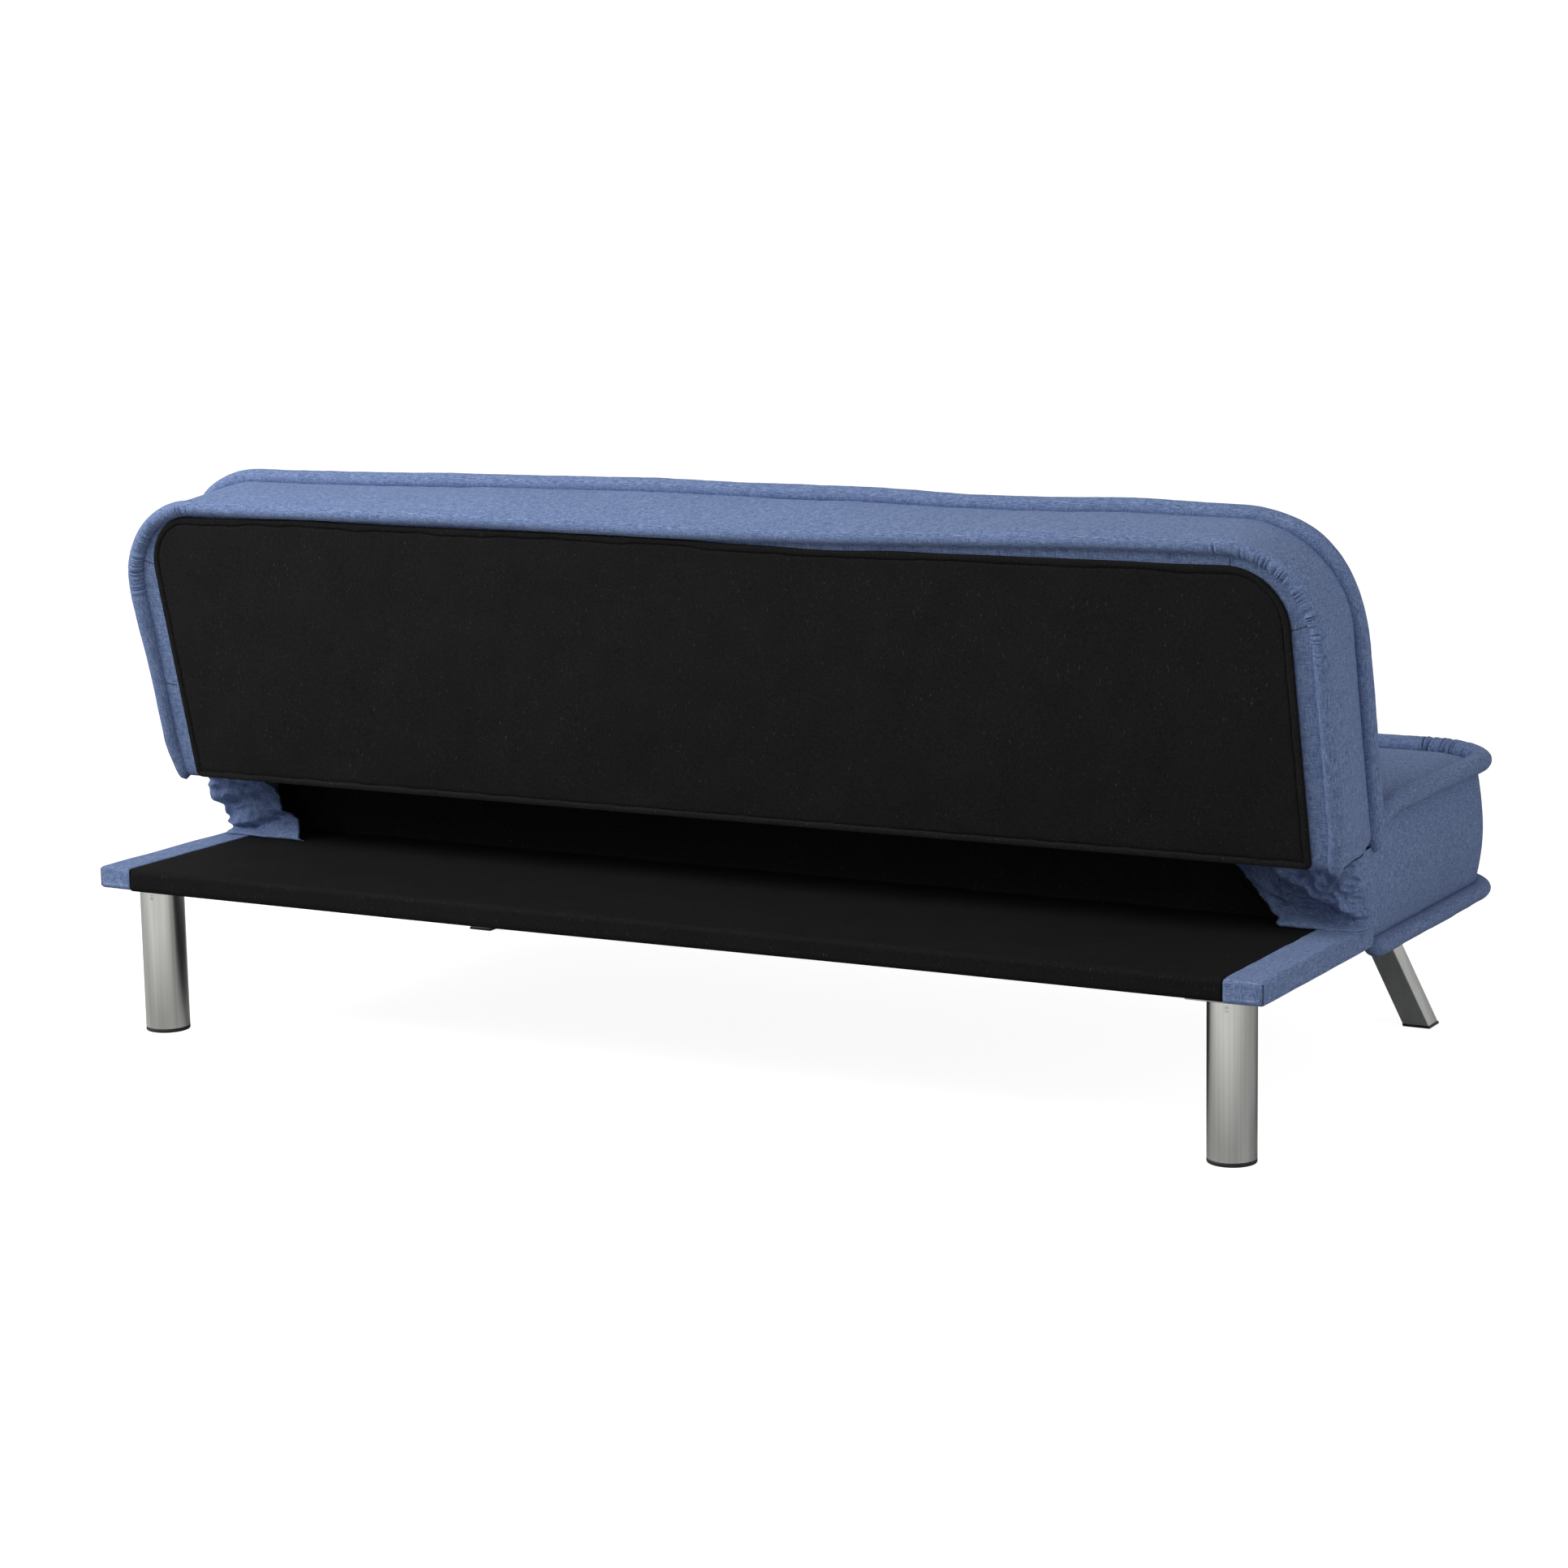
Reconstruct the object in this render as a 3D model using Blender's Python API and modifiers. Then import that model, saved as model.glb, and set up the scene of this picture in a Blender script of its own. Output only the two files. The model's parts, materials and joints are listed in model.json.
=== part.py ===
"""Click-clack futon sofa bed: a fixed seat box, a low rear deck and a backrest that folds flat onto it.

Metres, +Z up. The origin is on the floor under the middle of the sofa. A sitter faces -Y, so the
sitter's left end is at +X. Depths (d) run forward from the deck's rear edge. On the backrest,
t runs forward from its rear face and s runs up along it from its lower edge.
"""

from math import cos, radians, sin, tan

import bmesh
import bpy
from mathutils import Matrix, Vector

# Overall
DEPTH = 0.905
GAP = 0.0003
WELT_GAP = 0.001
SIDES = (("left", 1), ("right", -1))

# Rear deck
DECK_HALF = 0.900
DECK_BOTTOM = 0.2154
DECK_TOP = 0.2459
DECK_FRONT = 0.3785
DECK_SKIN = 0.0015
DECK_ROUND = 0.007
BOARD_CHAMFER = 0.00385
WRAP_ROUND = 0.0042
WRAP_WIDTH = 0.0528

# Seat box
SEAT_HALF = 0.892
SEAT_REAR = 0.3793
SEAT_FRONT = 0.8837
SEAT_BOTTOM = 0.2125
SEAT_TOP = 0.398
SEAT_CORNER = 0.115
COVER_WALL = 0.0025
RAIL_OUTER = 0.8663
RAIL_THICK = 0.020
RAIL_BOTTOM = 0.2172
RAIL_TOP = 0.318
BLOCK_INNER = 0.660
BLOCK_REAR = 0.690
BLOCK_HEIGHT = 0.040
SPRING_WIRE = 0.002
SPRING_COUNT = 4
SEAT_WELT = 0.0105
TOP_WELT = 0.0095

# Legs
REAR_LEG_X = 0.835
REAR_LEG_D = 0.058
REAR_LEG_RADIUS = 0.03175
REAR_CAP = 0.005
FRONT_FOOT_X = 0.800
FRONT_FOOT_D = 0.841
FRONT_LEG_SIDE = 0.041
FRONT_CAP = 0.004
SPLAY = 0.34
PLATE_THICK = 0.003
PLATE_SIDE = 0.090
TUBE_WALL = 0.0015

# Backrest
RECLINE = radians(13.63)
FOLD = radians(90) - RECLINE
BACK_FOOT_D = 0.2108
BACK_FOOT_Z = 0.343
FLAT_FOOT_D = 0.335
FLAT_CLEARANCE = 0.0041
BACK_HALF = 0.912
BACK_HIGH = 0.4225
BACK_THICK = 0.150
BACK_CORNER = 0.095
BACK_UNDERCUT = 0.0266
REAR_WELT_SIDE = 0.015
REAR_WELT_TOP = 0.0065
FRONT_WELT = 0.009
PANEL_HALF = 0.884
PANEL_HIGH = 0.407
PANEL_CORNER = 0.080
STILE_WIDTH = 0.050
BACK_FRAME_REAR = 0.0028
BACK_FRAME_THICK = 0.028
STRAP_COUNT = 3
FOAM_SHOULDER = 0.12
FOAM_FOOT_HALF = 0.845
HINGE_SLOT = (0.850, 0.885)

# Hinge: seat arm, back arm with its notched disc, and pawl
ARM_THICK = 0.004
SEAT_ARM_X = RAIL_OUTER + GAP + ARM_THICK / 2
BACK_ARM_X = SEAT_ARM_X + ARM_THICK + GAP
PIN_RADIUS = 0.005
PIN_CLEARANCE = 0.0004
PIN_HEAD = 0.009
PIN_LAP = 0.001
DISC_RADIUS = 0.022
NOTCH_DEPTH = 0.004
NOTCH_HALF = radians(9)
PAST_UPRIGHT = radians(10)
PAWL_D = 0.356
PAWL_Z = 0.315
PAWL_LIFT = radians(6)
PAWL_PIN_RADIUS = 0.004
PAWL_BOSS = 0.0085
NOSE_ANGLE = radians(4)
# The arm from its eye down and along the seat rail, (d, z) from the pivot
SEAT_ARM_TAIL = ((0.010, -0.085), (0.060, -0.1135), (0.228, -0.1135), (0.228, -0.0635),
                 (0.060, -0.0635), (0.045, -0.055), (0.040, -0.035))
# The arm's strap along the backrest's stile, (t, s)
BACK_ARM_STRAP = ((0.031, 0.004), (0.0055, 0.012), (0.0055, 0.160), (0.0305, 0.160), (0.0305, 0.045))
# The pawl's tip and the flanks behind it, from the tip
PAWL_NOSE = ((0.0095, 0.006), (0.006, 0.006), (0, 0), (0.005, -0.006), (0.014, -0.016))

# Fabric that bridges the seat, the deck and the backrest
GUSSET_D = 0.300
GUSSET_THICK = 0.003
CURTAIN_D = 0.360
CURTAIN_HALF = 0.800
CURTAIN_TOP = 0.3375

SIDE_VIEW = Matrix(((0, 0, -1, 0), (-1, 0, 0, 0), (0, 1, 0, 0), (0, 0, 0, 1)))
FRONT_VIEW = Matrix.Rotation(radians(90), 4, "X")
PLAN_VIEW = Matrix.Rotation(radians(180), 4, "X")


def pivot_of(foot, flat_foot, angle):
    """The point about which one turn by the angle takes the first point to the second, in (d, z)."""
    step = flat_foot - foot
    middle = (foot + flat_foot) / 2
    return middle + Vector((-step.y, step.x)) / (2 * tan(angle / 2))


BACK_FOOT = Vector((BACK_FOOT_D, BACK_FOOT_Z))
PIVOT = pivot_of(BACK_FOOT, Vector((FLAT_FOOT_D, DECK_TOP + FLAT_CLEARANCE)), FOLD)
UP_BACK = Vector((-sin(RECLINE), cos(RECLINE)))
OUT_BACK = Vector((cos(RECLINE), sin(RECLINE)))
PIVOT_S = (PIVOT - BACK_FOOT).dot(UP_BACK)
PIVOT_T = (PIVOT - BACK_FOOT).dot(OUT_BACK)


def at(x, d, z):
    """A point of the sofa from its side place, its depth from the deck's rear edge and its height."""
    return Vector((x, DEPTH / 2 - d, z))


def on_back(x, t, s):
    """A point of the backrest in the frame of its pivot."""
    return Vector((x, PIVOT_T - t, s - PIVOT_S))


def start_scene():
    for obj in list(bpy.data.objects):
        bpy.data.objects.remove(obj, do_unlink=True)
    for name in ("sofa_bed", "cutters"):
        collection = bpy.data.collections.new(name)
        bpy.context.scene.collection.children.link(collection)
    bpy.data.collections["cutters"].hide_render = True


def material(name, color, roughness, metallic=0.0):
    """A plain Principled material, made once for each name."""
    made = bpy.data.materials.get(name)
    if made is None:
        made = bpy.data.materials.new(name)
        made.use_nodes = True
        shader = made.node_tree.nodes["Principled BSDF"]
        shader.inputs["Base Color"].default_value = (*color, 1)
        shader.inputs["Roughness"].default_value = roughness
        shader.inputs["Metallic"].default_value = metallic
    return made


def blue_fabric():
    return material("blue_fabric", (0.085, 0.125, 0.27), 0.9)


def black_felt():
    return material("black_felt", (0.012, 0.012, 0.014), 0.95)


def foam():
    return material("foam", (0.78, 0.72, 0.52), 0.9)


def wood():
    return material("wood", (0.55, 0.38, 0.21), 0.6)


def chrome():
    return material("chrome", (0.72, 0.73, 0.74), 0.22, 1.0)


def steel():
    return material("steel", (0.32, 0.33, 0.35), 0.4, 1.0)


def black_plastic():
    return material("black_plastic", (0.015, 0.015, 0.016), 0.45)


def webbing():
    return material("webbing", (0.05, 0.05, 0.055), 0.85)


def placed(obj, finish=None, parent=None):
    """Puts an object among the parts, or among the cutters where it has no finish."""
    if finish is None:
        bpy.data.collections["cutters"].objects.link(obj)
        obj.hide_render = True
        obj.display_type = "WIRE"
    else:
        bpy.data.collections["sofa_bed"].objects.link(obj)
        obj.data.materials.clear()
        obj.data.materials.append(finish)
    obj.parent = parent
    return obj


def new_mesh(name, maker):
    """A mesh object from one bmesh operation."""
    mesh = bpy.data.meshes.new(name)
    work = bmesh.new()
    maker(work)
    bmesh.ops.recalc_face_normals(work, faces=work.faces)
    work.to_mesh(mesh)
    work.free()
    return bpy.data.objects.new(name, mesh)


def rounded_edges(obj, width, segments=2):
    bevel = obj.modifiers.new("Bevel", "BEVEL")
    bevel.width = width
    bevel.segments = segments
    bevel.limit_method = "ANGLE"
    return obj


def box(name, low, high, finish=None, bevel=0.0, parent=None, segments=2):
    """A box between two corners, given in any order."""
    low, high = Vector(low), Vector(high)
    size = [abs(a - b) for a, b in zip(low, high)]
    obj = new_mesh(name, lambda work: bmesh.ops.create_cube(
        work, size=1.0, matrix=Matrix.Diagonal((*size, 1.0))))
    obj.location = (low + high) / 2
    if bevel:
        rounded_edges(obj, bevel, segments)
    return placed(obj, finish, parent)


def rod(name, radius, length, place, view, finish=None, parent=None, sides=24):
    """A round bar along the third axis of its view."""
    obj = new_mesh(name, lambda work: bmesh.ops.create_cone(
        work, cap_ends=True, segments=sides, radius1=radius, radius2=radius, depth=length))
    obj.matrix_local = Matrix.Translation(place) @ view
    obj.data.shade_smooth()
    obj.data.set_sharp_from_angle(angle=radians(40))
    return placed(obj, finish, parent)


def arc(center, radius, start, end, steps=6):
    """Points of an arc, from one angle to another in degrees."""
    angles = [radians(start + (end - start) * i / steps) for i in range(steps + 1)]
    return [(center[0] + radius * cos(a), center[1] + radius * sin(a)) for a in angles]


def welded_mesh(curve_object, name):
    """The mesh of a curve object, with its loose caps joined on; the curve is removed."""
    graph = bpy.context.evaluated_depsgraph_get()
    mesh = bpy.data.meshes.new_from_object(curve_object.evaluated_get(graph))
    work = bmesh.new()
    work.from_mesh(mesh)
    bmesh.ops.remove_doubles(work, verts=work.verts, dist=0.00002)
    bmesh.ops.recalc_face_normals(work, faces=work.faces)
    work.to_mesh(mesh)
    work.free()
    bpy.data.objects.remove(curve_object, do_unlink=True)
    return bpy.data.objects.new(name, mesh)


def slab(name, outline, thickness, place, view, finish=None, holes=(), parent=None):
    """A flat outline, with any holes, extruded half its thickness to both sides of its place."""
    curve = bpy.data.curves.new(name, "CURVE")
    curve.dimensions = "2D"
    curve.fill_mode = "BOTH"
    curve.extrude = thickness / 2
    for ring in (outline, *holes):
        spline = curve.splines.new("POLY")
        spline.points.add(len(ring) - 1)
        for point, (u, v) in zip(spline.points, ring):
            point.co = (u, v, 0, 1)
        spline.use_cyclic_u = True
    draft = bpy.data.objects.new(name + "_draft", curve)
    bpy.context.scene.collection.objects.link(draft)
    obj = welded_mesh(draft, name)
    obj.matrix_local = Matrix.Translation(place) @ view
    return placed(obj, finish, parent)


def tube(name, points, radius, finish, parent=None, scales=None):
    """A round cord through its points, with filled ends."""
    curve = bpy.data.curves.new(name, "CURVE")
    curve.dimensions = "3D"
    curve.bevel_depth = radius
    curve.bevel_resolution = 2
    curve.use_fill_caps = True
    spline = curve.splines.new("POLY")
    spline.points.add(len(points) - 1)
    for i, (point, place) in enumerate(zip(spline.points, points)):
        point.co = (*place, 1)
        point.radius = scales[i] if scales else 1.0
    return placed(bpy.data.objects.new(name, curve), finish, parent)


def turned(name, profile, place, finish, closed_profile=False):
    """A profile of (radius, height) points turned about a vertical axis."""
    mesh = bpy.data.meshes.new(name)
    points = [(radius, 0, height) for radius, height in profile]
    edges = [(i, i + 1) for i in range(len(points) - 1)]
    if closed_profile:
        edges.append((len(points) - 1, 0))
    mesh.from_pydata(points, edges, [])
    obj = bpy.data.objects.new(name, mesh)
    obj.location = place
    screw = obj.modifiers.new("Screw", "SCREW")
    screw.steps = 32
    screw.render_steps = 32
    screw.use_merge_vertices = True
    screw.merge_threshold = 0.0001
    return placed(obj, finish)


def cut(obj, *cutters):
    for cutter in cutters:
        boolean = obj.modifiers.new("Cut", "BOOLEAN")
        boolean.operation = "DIFFERENCE"
        boolean.object = cutter
    return obj


def circle(center, radius, sides=24):
    return arc(center, radius, 0, 360 - 360 / sides, sides - 1)


def empty(name, place, angle=0.0):
    """A guide on a joint's axis that carries the moving pieces."""
    guide = bpy.data.objects.new(name, None)
    guide.location = place
    guide.rotation_euler = (angle, 0, 0)
    bpy.data.collections["sofa_bed"].objects.link(guide)
    return guide


def deck():
    """The rear platform: a board in a black sleeve, with blue fabric wrapped over both ends."""
    low, high, r, skin = DECK_BOTTOM, DECK_TOP, DECK_ROUND, DECK_SKIN
    inside = skin + GAP
    box("deck_board", at(-DECK_HALF + inside, inside, low + inside),
        at(DECK_HALF - inside, DECK_FRONT, high - inside), wood(), BOARD_CHAMFER, segments=1)
    outer = arc((r, high - r), r, 90, 180, 4) + arc((r, low + r), r, 180, 270, 4)
    inner = [(DECK_FRONT, low), (DECK_FRONT, low + skin), (inside + BOARD_CHAMFER, low + skin),
             (skin, low + inside + BOARD_CHAMFER), (skin, high - inside - BOARD_CHAMFER),
             (inside + BOARD_CHAMFER, high - skin), (DECK_FRONT, high - skin), (DECK_FRONT, high)]
    slab("deck_cover", outer + inner, 2 * (DECK_HALF - WRAP_WIDTH - GAP), at(0, 0, 0),
         SIDE_VIEW, black_felt())
    for side, sign in SIDES:
        wrap = box(f"deck_end_wrap_{side}", at(sign * (DECK_HALF - WRAP_WIDTH), 0, low),
                   at(sign * DECK_HALF, DECK_FRONT, high), blue_fabric(), WRAP_ROUND)
        hollow = box(f"wrap_hollow_{side}", at(0, skin, low + skin),
                     at(sign * (DECK_HALF - skin), 1, high - skin), None, BOARD_CHAMFER, segments=1)
        cut(wrap, hollow)


def rear_legs():
    """Round tubes under the deck, each with its screw plate and a push-in foot cap."""
    top = DECK_BOTTOM - GAP - PLATE_THICK
    r = REAR_LEG_RADIUS
    for side, sign in SIDES:
        center = at(sign * REAR_LEG_X, REAR_LEG_D, 0)
        half = Vector((PLATE_SIDE / 2, PLATE_SIDE / 2, 0))
        box(f"rear_leg_plate_{side}", center - half + Vector((0, 0, top)),
            center + half + Vector((0, 0, top + PLATE_THICK)), steel(), 0.001)
        inside = r - TUBE_WALL
        profile = [(r, top - GAP), (r, REAR_CAP + GAP), (inside, REAR_CAP + GAP), (inside, top - GAP)]
        turned(f"rear_leg_{side}", profile, center, chrome(), closed_profile=True)
        spigot = inside - GAP
        cap = [(0, 0.020), (spigot, 0.020), (spigot, REAR_CAP), (r, REAR_CAP), (r, 0.001),
               (r - 0.001, 0), (0, 0)]
        turned(f"rear_foot_cap_{side}", cap, center, black_plastic())


def sheared_box(name, sign, inset, low, high, finish=None):
    """A slice between two heights of the splayed front leg, its sides moved in by the inset."""
    height = high - low
    middle = (low + high) / 2
    side = FRONT_LEG_SIDE - 2 * inset
    obj = new_mesh(name, lambda work: bmesh.ops.create_cube(
        work, size=1.0, matrix=Matrix.Diagonal((side, side, height, 1.0))))
    lean = Matrix.Identity(4)
    lean[0][2] = -sign * SPLAY
    lean[1][2] = SPLAY
    obj.data.transform(lean)
    obj.location = at(sign * (FRONT_FOOT_X - SPLAY * middle), FRONT_FOOT_D - SPLAY * middle, middle)
    return placed(obj, finish)


def front_legs():
    """Square tubes splayed to the outer corners, each with its screw plate and foot cap."""
    top = DECK_BOTTOM - GAP - PLATE_THICK
    for side, sign in SIDES:
        leg = sheared_box(f"front_leg_{side}", sign, 0, FRONT_CAP + GAP, top - GAP, chrome())
        rounded_edges(leg, 0.002)
        bore = sheared_box(f"front_leg_bore_{side}", sign, 0.0025, -0.01, top + 0.01)
        cut(leg, bore)
        cap = sheared_box(f"front_foot_cap_{side}", sign, 0, 0, FRONT_CAP, black_plastic())
        rounded_edges(cap, 0.001)
        plate = at(sign * (FRONT_FOOT_X - SPLAY * top), FRONT_FOOT_D - SPLAY * top, top)
        half = Vector((PLATE_SIDE / 2, PLATE_SIDE / 2, 0))
        box(f"front_leg_plate_{side}", plate - half,
            plate + half + Vector((0, 0, PLATE_THICK)), steel(), 0.001)


def seat_outline(inset, rear):
    """The seat box in plan, (x, d), with its two front corners rounded."""
    half, front, r = SEAT_HALF - inset, SEAT_FRONT - inset, SEAT_CORNER - inset
    right = arc((half - r, front - r), r, 0, 90, 8)
    left = arc((r - half, front - r), r, 90, 180, 8)
    return [(-half, rear), (half, rear)] + right + left


def plan_slab(name, outline, low, high, finish=None):
    return slab(name, outline, high - low, at(0, 0, (low + high) / 2), PLAN_VIEW, finish)


def seat_frame():
    """Wooden rails on edge, with corner blocks that the front legs are screwed to."""
    inner = RAIL_OUTER - RAIL_THICK
    corner_d = SEAT_FRONT - SEAT_CORNER
    corner_x = SEAT_HALF - SEAT_CORNER
    front_rear_face = SEAT_FRONT - 0.0285
    box("seat_rail_rear", at(-RAIL_OUTER, SEAT_REAR + GAP, RAIL_BOTTOM),
        at(RAIL_OUTER, SEAT_REAR + GAP + RAIL_THICK, RAIL_TOP), wood())
    box("seat_rail_front", at(-corner_x + GAP, front_rear_face, RAIL_BOTTOM),
        at(corner_x - GAP, front_rear_face + RAIL_THICK, RAIL_TOP), wood())
    block_radius = SEAT_CORNER - 0.008
    for side, sign in SIDES:
        box(f"seat_rail_{side}", at(sign * inner, SEAT_REAR + 2 * GAP + RAIL_THICK, RAIL_BOTTOM),
            at(sign * RAIL_OUTER, corner_d - GAP, RAIL_TOP), wood())
        outline = [(BLOCK_INNER, BLOCK_REAR), (inner - GAP, BLOCK_REAR), (inner - GAP, corner_d)]
        outline += arc((corner_x, corner_d), block_radius, 0, 90, 8)
        outline += [(corner_x, front_rear_face - GAP), (BLOCK_INNER, front_rear_face - GAP)]
        outline = [(sign * x, d) for x, d in outline]
        plan_slab(f"seat_corner_block_{side}", outline, RAIL_BOTTOM, RAIL_BOTTOM + BLOCK_HEIGHT,
                  wood())


def zigzag(x, rear, front, turns, swing, height):
    """Points of a flat zigzag spring that runs forward, with rounded bends."""
    pitch = (front - rear) / turns
    points = [at(x, rear - 0.004, height)]
    for turn in range(turns):
        way = 1 if turn % 2 else -1
        middle = rear + pitch * (turn + 0.5)
        for angle in (-90, -60, -30, 0, 30, 60, 90):
            a = radians(angle)
            points.append(at(x + way * (swing + pitch / 2 * cos(a)), middle + pitch / 2 * sin(a), height))
    points.append(at(x, front + 0.004, height))
    return points


def seat_springs():
    height = RAIL_TOP + GAP + SPRING_WIRE
    spacing = 2 * 0.80 / SPRING_COUNT
    for number in range(SPRING_COUNT):
        x = spacing * (number - (SPRING_COUNT - 1) / 2)
        points = zigzag(x, SEAT_REAR + 0.012, SEAT_FRONT - 0.020, 15, 0.012, height)
        tube(f"seat_spring_{number + 1}", points, SPRING_WIRE, steel())


def seat_welt(name, radius, height, rear):
    """A corded edge along both ends and the front of the seat."""
    offset = -(radius + WELT_GAP)
    half, front, r = SEAT_HALF - offset, SEAT_FRONT - offset, SEAT_CORNER - offset
    run = [(half, rear)] + arc((half - r, front - r), r, 0, 90, 10)
    run += [(-x, d) for x, d in reversed(run)]
    tube(name, [at(x, d, height) for x, d in run], radius, blue_fabric())


def seat_soft_parts():
    """Cover with its corded edges, foam pad, and the dust cover stapled underneath."""
    cover = plan_slab("seat_cover", seat_outline(0, SEAT_REAR), SEAT_BOTTOM, SEAT_TOP, blue_fabric())
    rounded_edges(cover, 0.005)
    hollow = plan_slab("seat_hollow", seat_outline(COVER_WALL, SEAT_REAR - 0.02), SEAT_BOTTOM - 0.02,
                       SEAT_TOP - COVER_WALL)
    cut(cover, hollow)
    inset = COVER_WALL + GAP
    foam_bottom = RAIL_TOP + 2 * SPRING_WIRE + 2 * GAP
    pad = plan_slab("seat_foam", seat_outline(inset, SEAT_REAR + GAP), foam_bottom,
                    SEAT_TOP - inset, foam())
    rounded_edges(pad, 0.004, 1)
    plan_slab("seat_dust_cover", seat_outline(inset + 0.002, SEAT_REAR + GAP),
              RAIL_BOTTOM - GAP - 0.0012, RAIL_BOTTOM - GAP, black_felt())
    rear_end = SEAT_REAR + 0.004
    seat_welt("seat_bottom_welt", SEAT_WELT, DECK_BOTTOM - 0.0045, rear_end)
    seat_welt("seat_top_welt", TOP_WELT, SEAT_TOP - 0.0105, rear_end)


def back_outline(inset, low, corner=BACK_CORNER, half=BACK_HALF, high=BACK_HIGH):
    """The backrest seen from the front, (x, s) about the pivot, with round upper corners."""
    half, top, r = half - inset, high - inset - PIVOT_S, corner - inset
    right = arc((half - r, top - r), r, 0, 90, 8)
    left = arc((r - half, top - r), r, 90, 180, 8)
    return [(-half, low - PIVOT_S), (half, low - PIVOT_S)] + right + left


def back_slab(name, outline, rear, front, finish=None, parent=None):
    place = Vector((0, PIVOT_T - (rear + front) / 2, 0))
    return slab(name, outline, front - rear, place, FRONT_VIEW, finish, parent=parent)


def undercut(obj, depth):
    """Lowers the front bottom edge of a backrest slab, so that its underside is level when upright."""
    lowest = min(v.co.y for v in obj.data.vertices)
    for vertex in obj.data.vertices:
        if vertex.co.y < lowest + 0.001 and vertex.co.z > 0:
            vertex.co.y -= depth
    return obj


def back_frame(back):
    """Two rails and three stiles of wood, with elastic straps across them."""
    rear, front = BACK_FRAME_REAR, BACK_FRAME_REAR + BACK_FRAME_THICK
    stile_outer = BACK_ARM_X - ARM_THICK / 2 - GAP
    stile_inner = stile_outer - STILE_WIDTH
    low, high = 0.008, 0.396
    for side, sign in SIDES:
        box(f"back_stile_{side}", on_back(sign * stile_inner, rear, low),
            on_back(sign * stile_outer, front, high), wood(), parent=back)
    rail_half = stile_inner - GAP
    box("back_rail_bottom", on_back(-rail_half, rear, low),
        on_back(rail_half, front, low + STILE_WIDTH), wood(), parent=back)
    box("back_rail_top", on_back(-rail_half, rear, high - STILE_WIDTH),
        on_back(rail_half, front, high), wood(), parent=back)
    box("back_stile_middle", on_back(-STILE_WIDTH / 2, rear, low + STILE_WIDTH + GAP),
        on_back(STILE_WIDTH / 2, front, high - STILE_WIDTH - GAP), wood(), parent=back)
    strap_rear = front + GAP
    for number in range(STRAP_COUNT):
        middle = 0.13 + 0.08 * number
        box(f"back_strap_{number + 1}", on_back(-stile_outer, strap_rear, middle - 0.025),
            on_back(stile_outer, strap_rear + 0.0012, middle + 0.025), webbing(), parent=back)


def back_welt(name, back, t, side_radius, top_radius):
    """A corded edge up both ends and over the top, thinner along the top than at the ends."""
    points, scales = [], []
    corner = arc((0, 0), 1, 0, 90, 10)
    half, top, r = BACK_HALF, BACK_HIGH, BACK_CORNER
    for (cx, cs), blend in zip(corner, [i / 10 for i in range(11)]):
        radius = side_radius + (top_radius - side_radius) * blend
        reach = r + radius + WELT_GAP
        points.append((half - r + reach * cx, top - r + reach * cs))
        scales.append(radius / side_radius)
    points = [(half + side_radius + WELT_GAP, -0.002), *points]
    scales = [1.0, *scales]
    points += [(-x, s) for x, s in reversed(points)]
    scales += reversed(scales)
    run = [on_back(x, t, s) for x, s in points]
    tube(name, run, side_radius, blue_fabric(), back, scales)


def back_soft_parts(back):
    """Cover, foam and black rear panel, with a slot in the cover at each hinge."""
    cover = undercut(back_slab("back_cover", back_outline(0, 0), 0, BACK_THICK,
                               blue_fabric(), back), BACK_UNDERCUT)
    rounded_edges(cover, 0.005)
    wall = COVER_WALL
    hollow = back_slab("back_hollow", back_outline(wall, wall + 0.0003), wall, BACK_THICK - wall,
                       parent=back)
    undercut(hollow, BACK_UNDERCUT - 0.0009)
    panel = back_outline(0, 0.004, PANEL_CORNER, PANEL_HALF, PANEL_HIGH)
    window = back_outline(-GAP, 0.0035, PANEL_CORNER, PANEL_HALF, PANEL_HIGH)
    opening = back_slab("back_opening", window, -0.01, 0.01, parent=back)
    cutters = [hollow, opening]
    for side, sign in SIDES:
        cutters.append(box(f"hinge_slot_{side}",
                           on_back(sign * HINGE_SLOT[0], 0.030, -0.06),
                           on_back(sign * HINGE_SLOT[1], 0.20, 0.025), parent=back))
    cut(cover, *cutters)
    back_slab("back_panel", panel, 0, 0.0018, black_felt(), back)
    inset = wall + GAP
    shoulder = FOAM_SHOULDER - PIVOT_S
    foot = inset - PIVOT_S
    upper = back_outline(inset, FOAM_SHOULDER)
    outline = [(-FOAM_FOOT_HALF, shoulder), (-FOAM_FOOT_HALF, foot), (FOAM_FOOT_HALF, foot),
               (FOAM_FOOT_HALF, shoulder), *upper[1:], upper[0]]
    pad = back_slab("back_foam", outline, BACK_FRAME_REAR + BACK_FRAME_THICK + 2 * GAP + 0.0014,
                    BACK_THICK - inset, foam(), back)
    rounded_edges(pad, 0.004, 1)
    back_welt("back_rear_welt", back, 0.0105, REAR_WELT_SIDE, REAR_WELT_TOP)
    back_welt("back_front_welt", back, BACK_THICK - FRONT_WELT + 0.0005, FRONT_WELT, FRONT_WELT)


def disc_edge(start, end, notches):
    """The rim of the hinge disc from one angle to another, clockwise, with V notches in it."""
    edge = []
    steps = 36
    even = {start + (end - start) * i / steps for i in range(steps + 1)}
    for angle in sorted(even | set(notches), reverse=True):
        near = min(notches, key=lambda notch: abs(notch - angle))
        away = min(1.0, abs(near - angle) / NOTCH_HALF)
        radius = DISC_RADIUS - NOTCH_DEPTH * (1 - away)
        edge.append((radius * cos(angle), radius * sin(angle)))
    return edge


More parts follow.
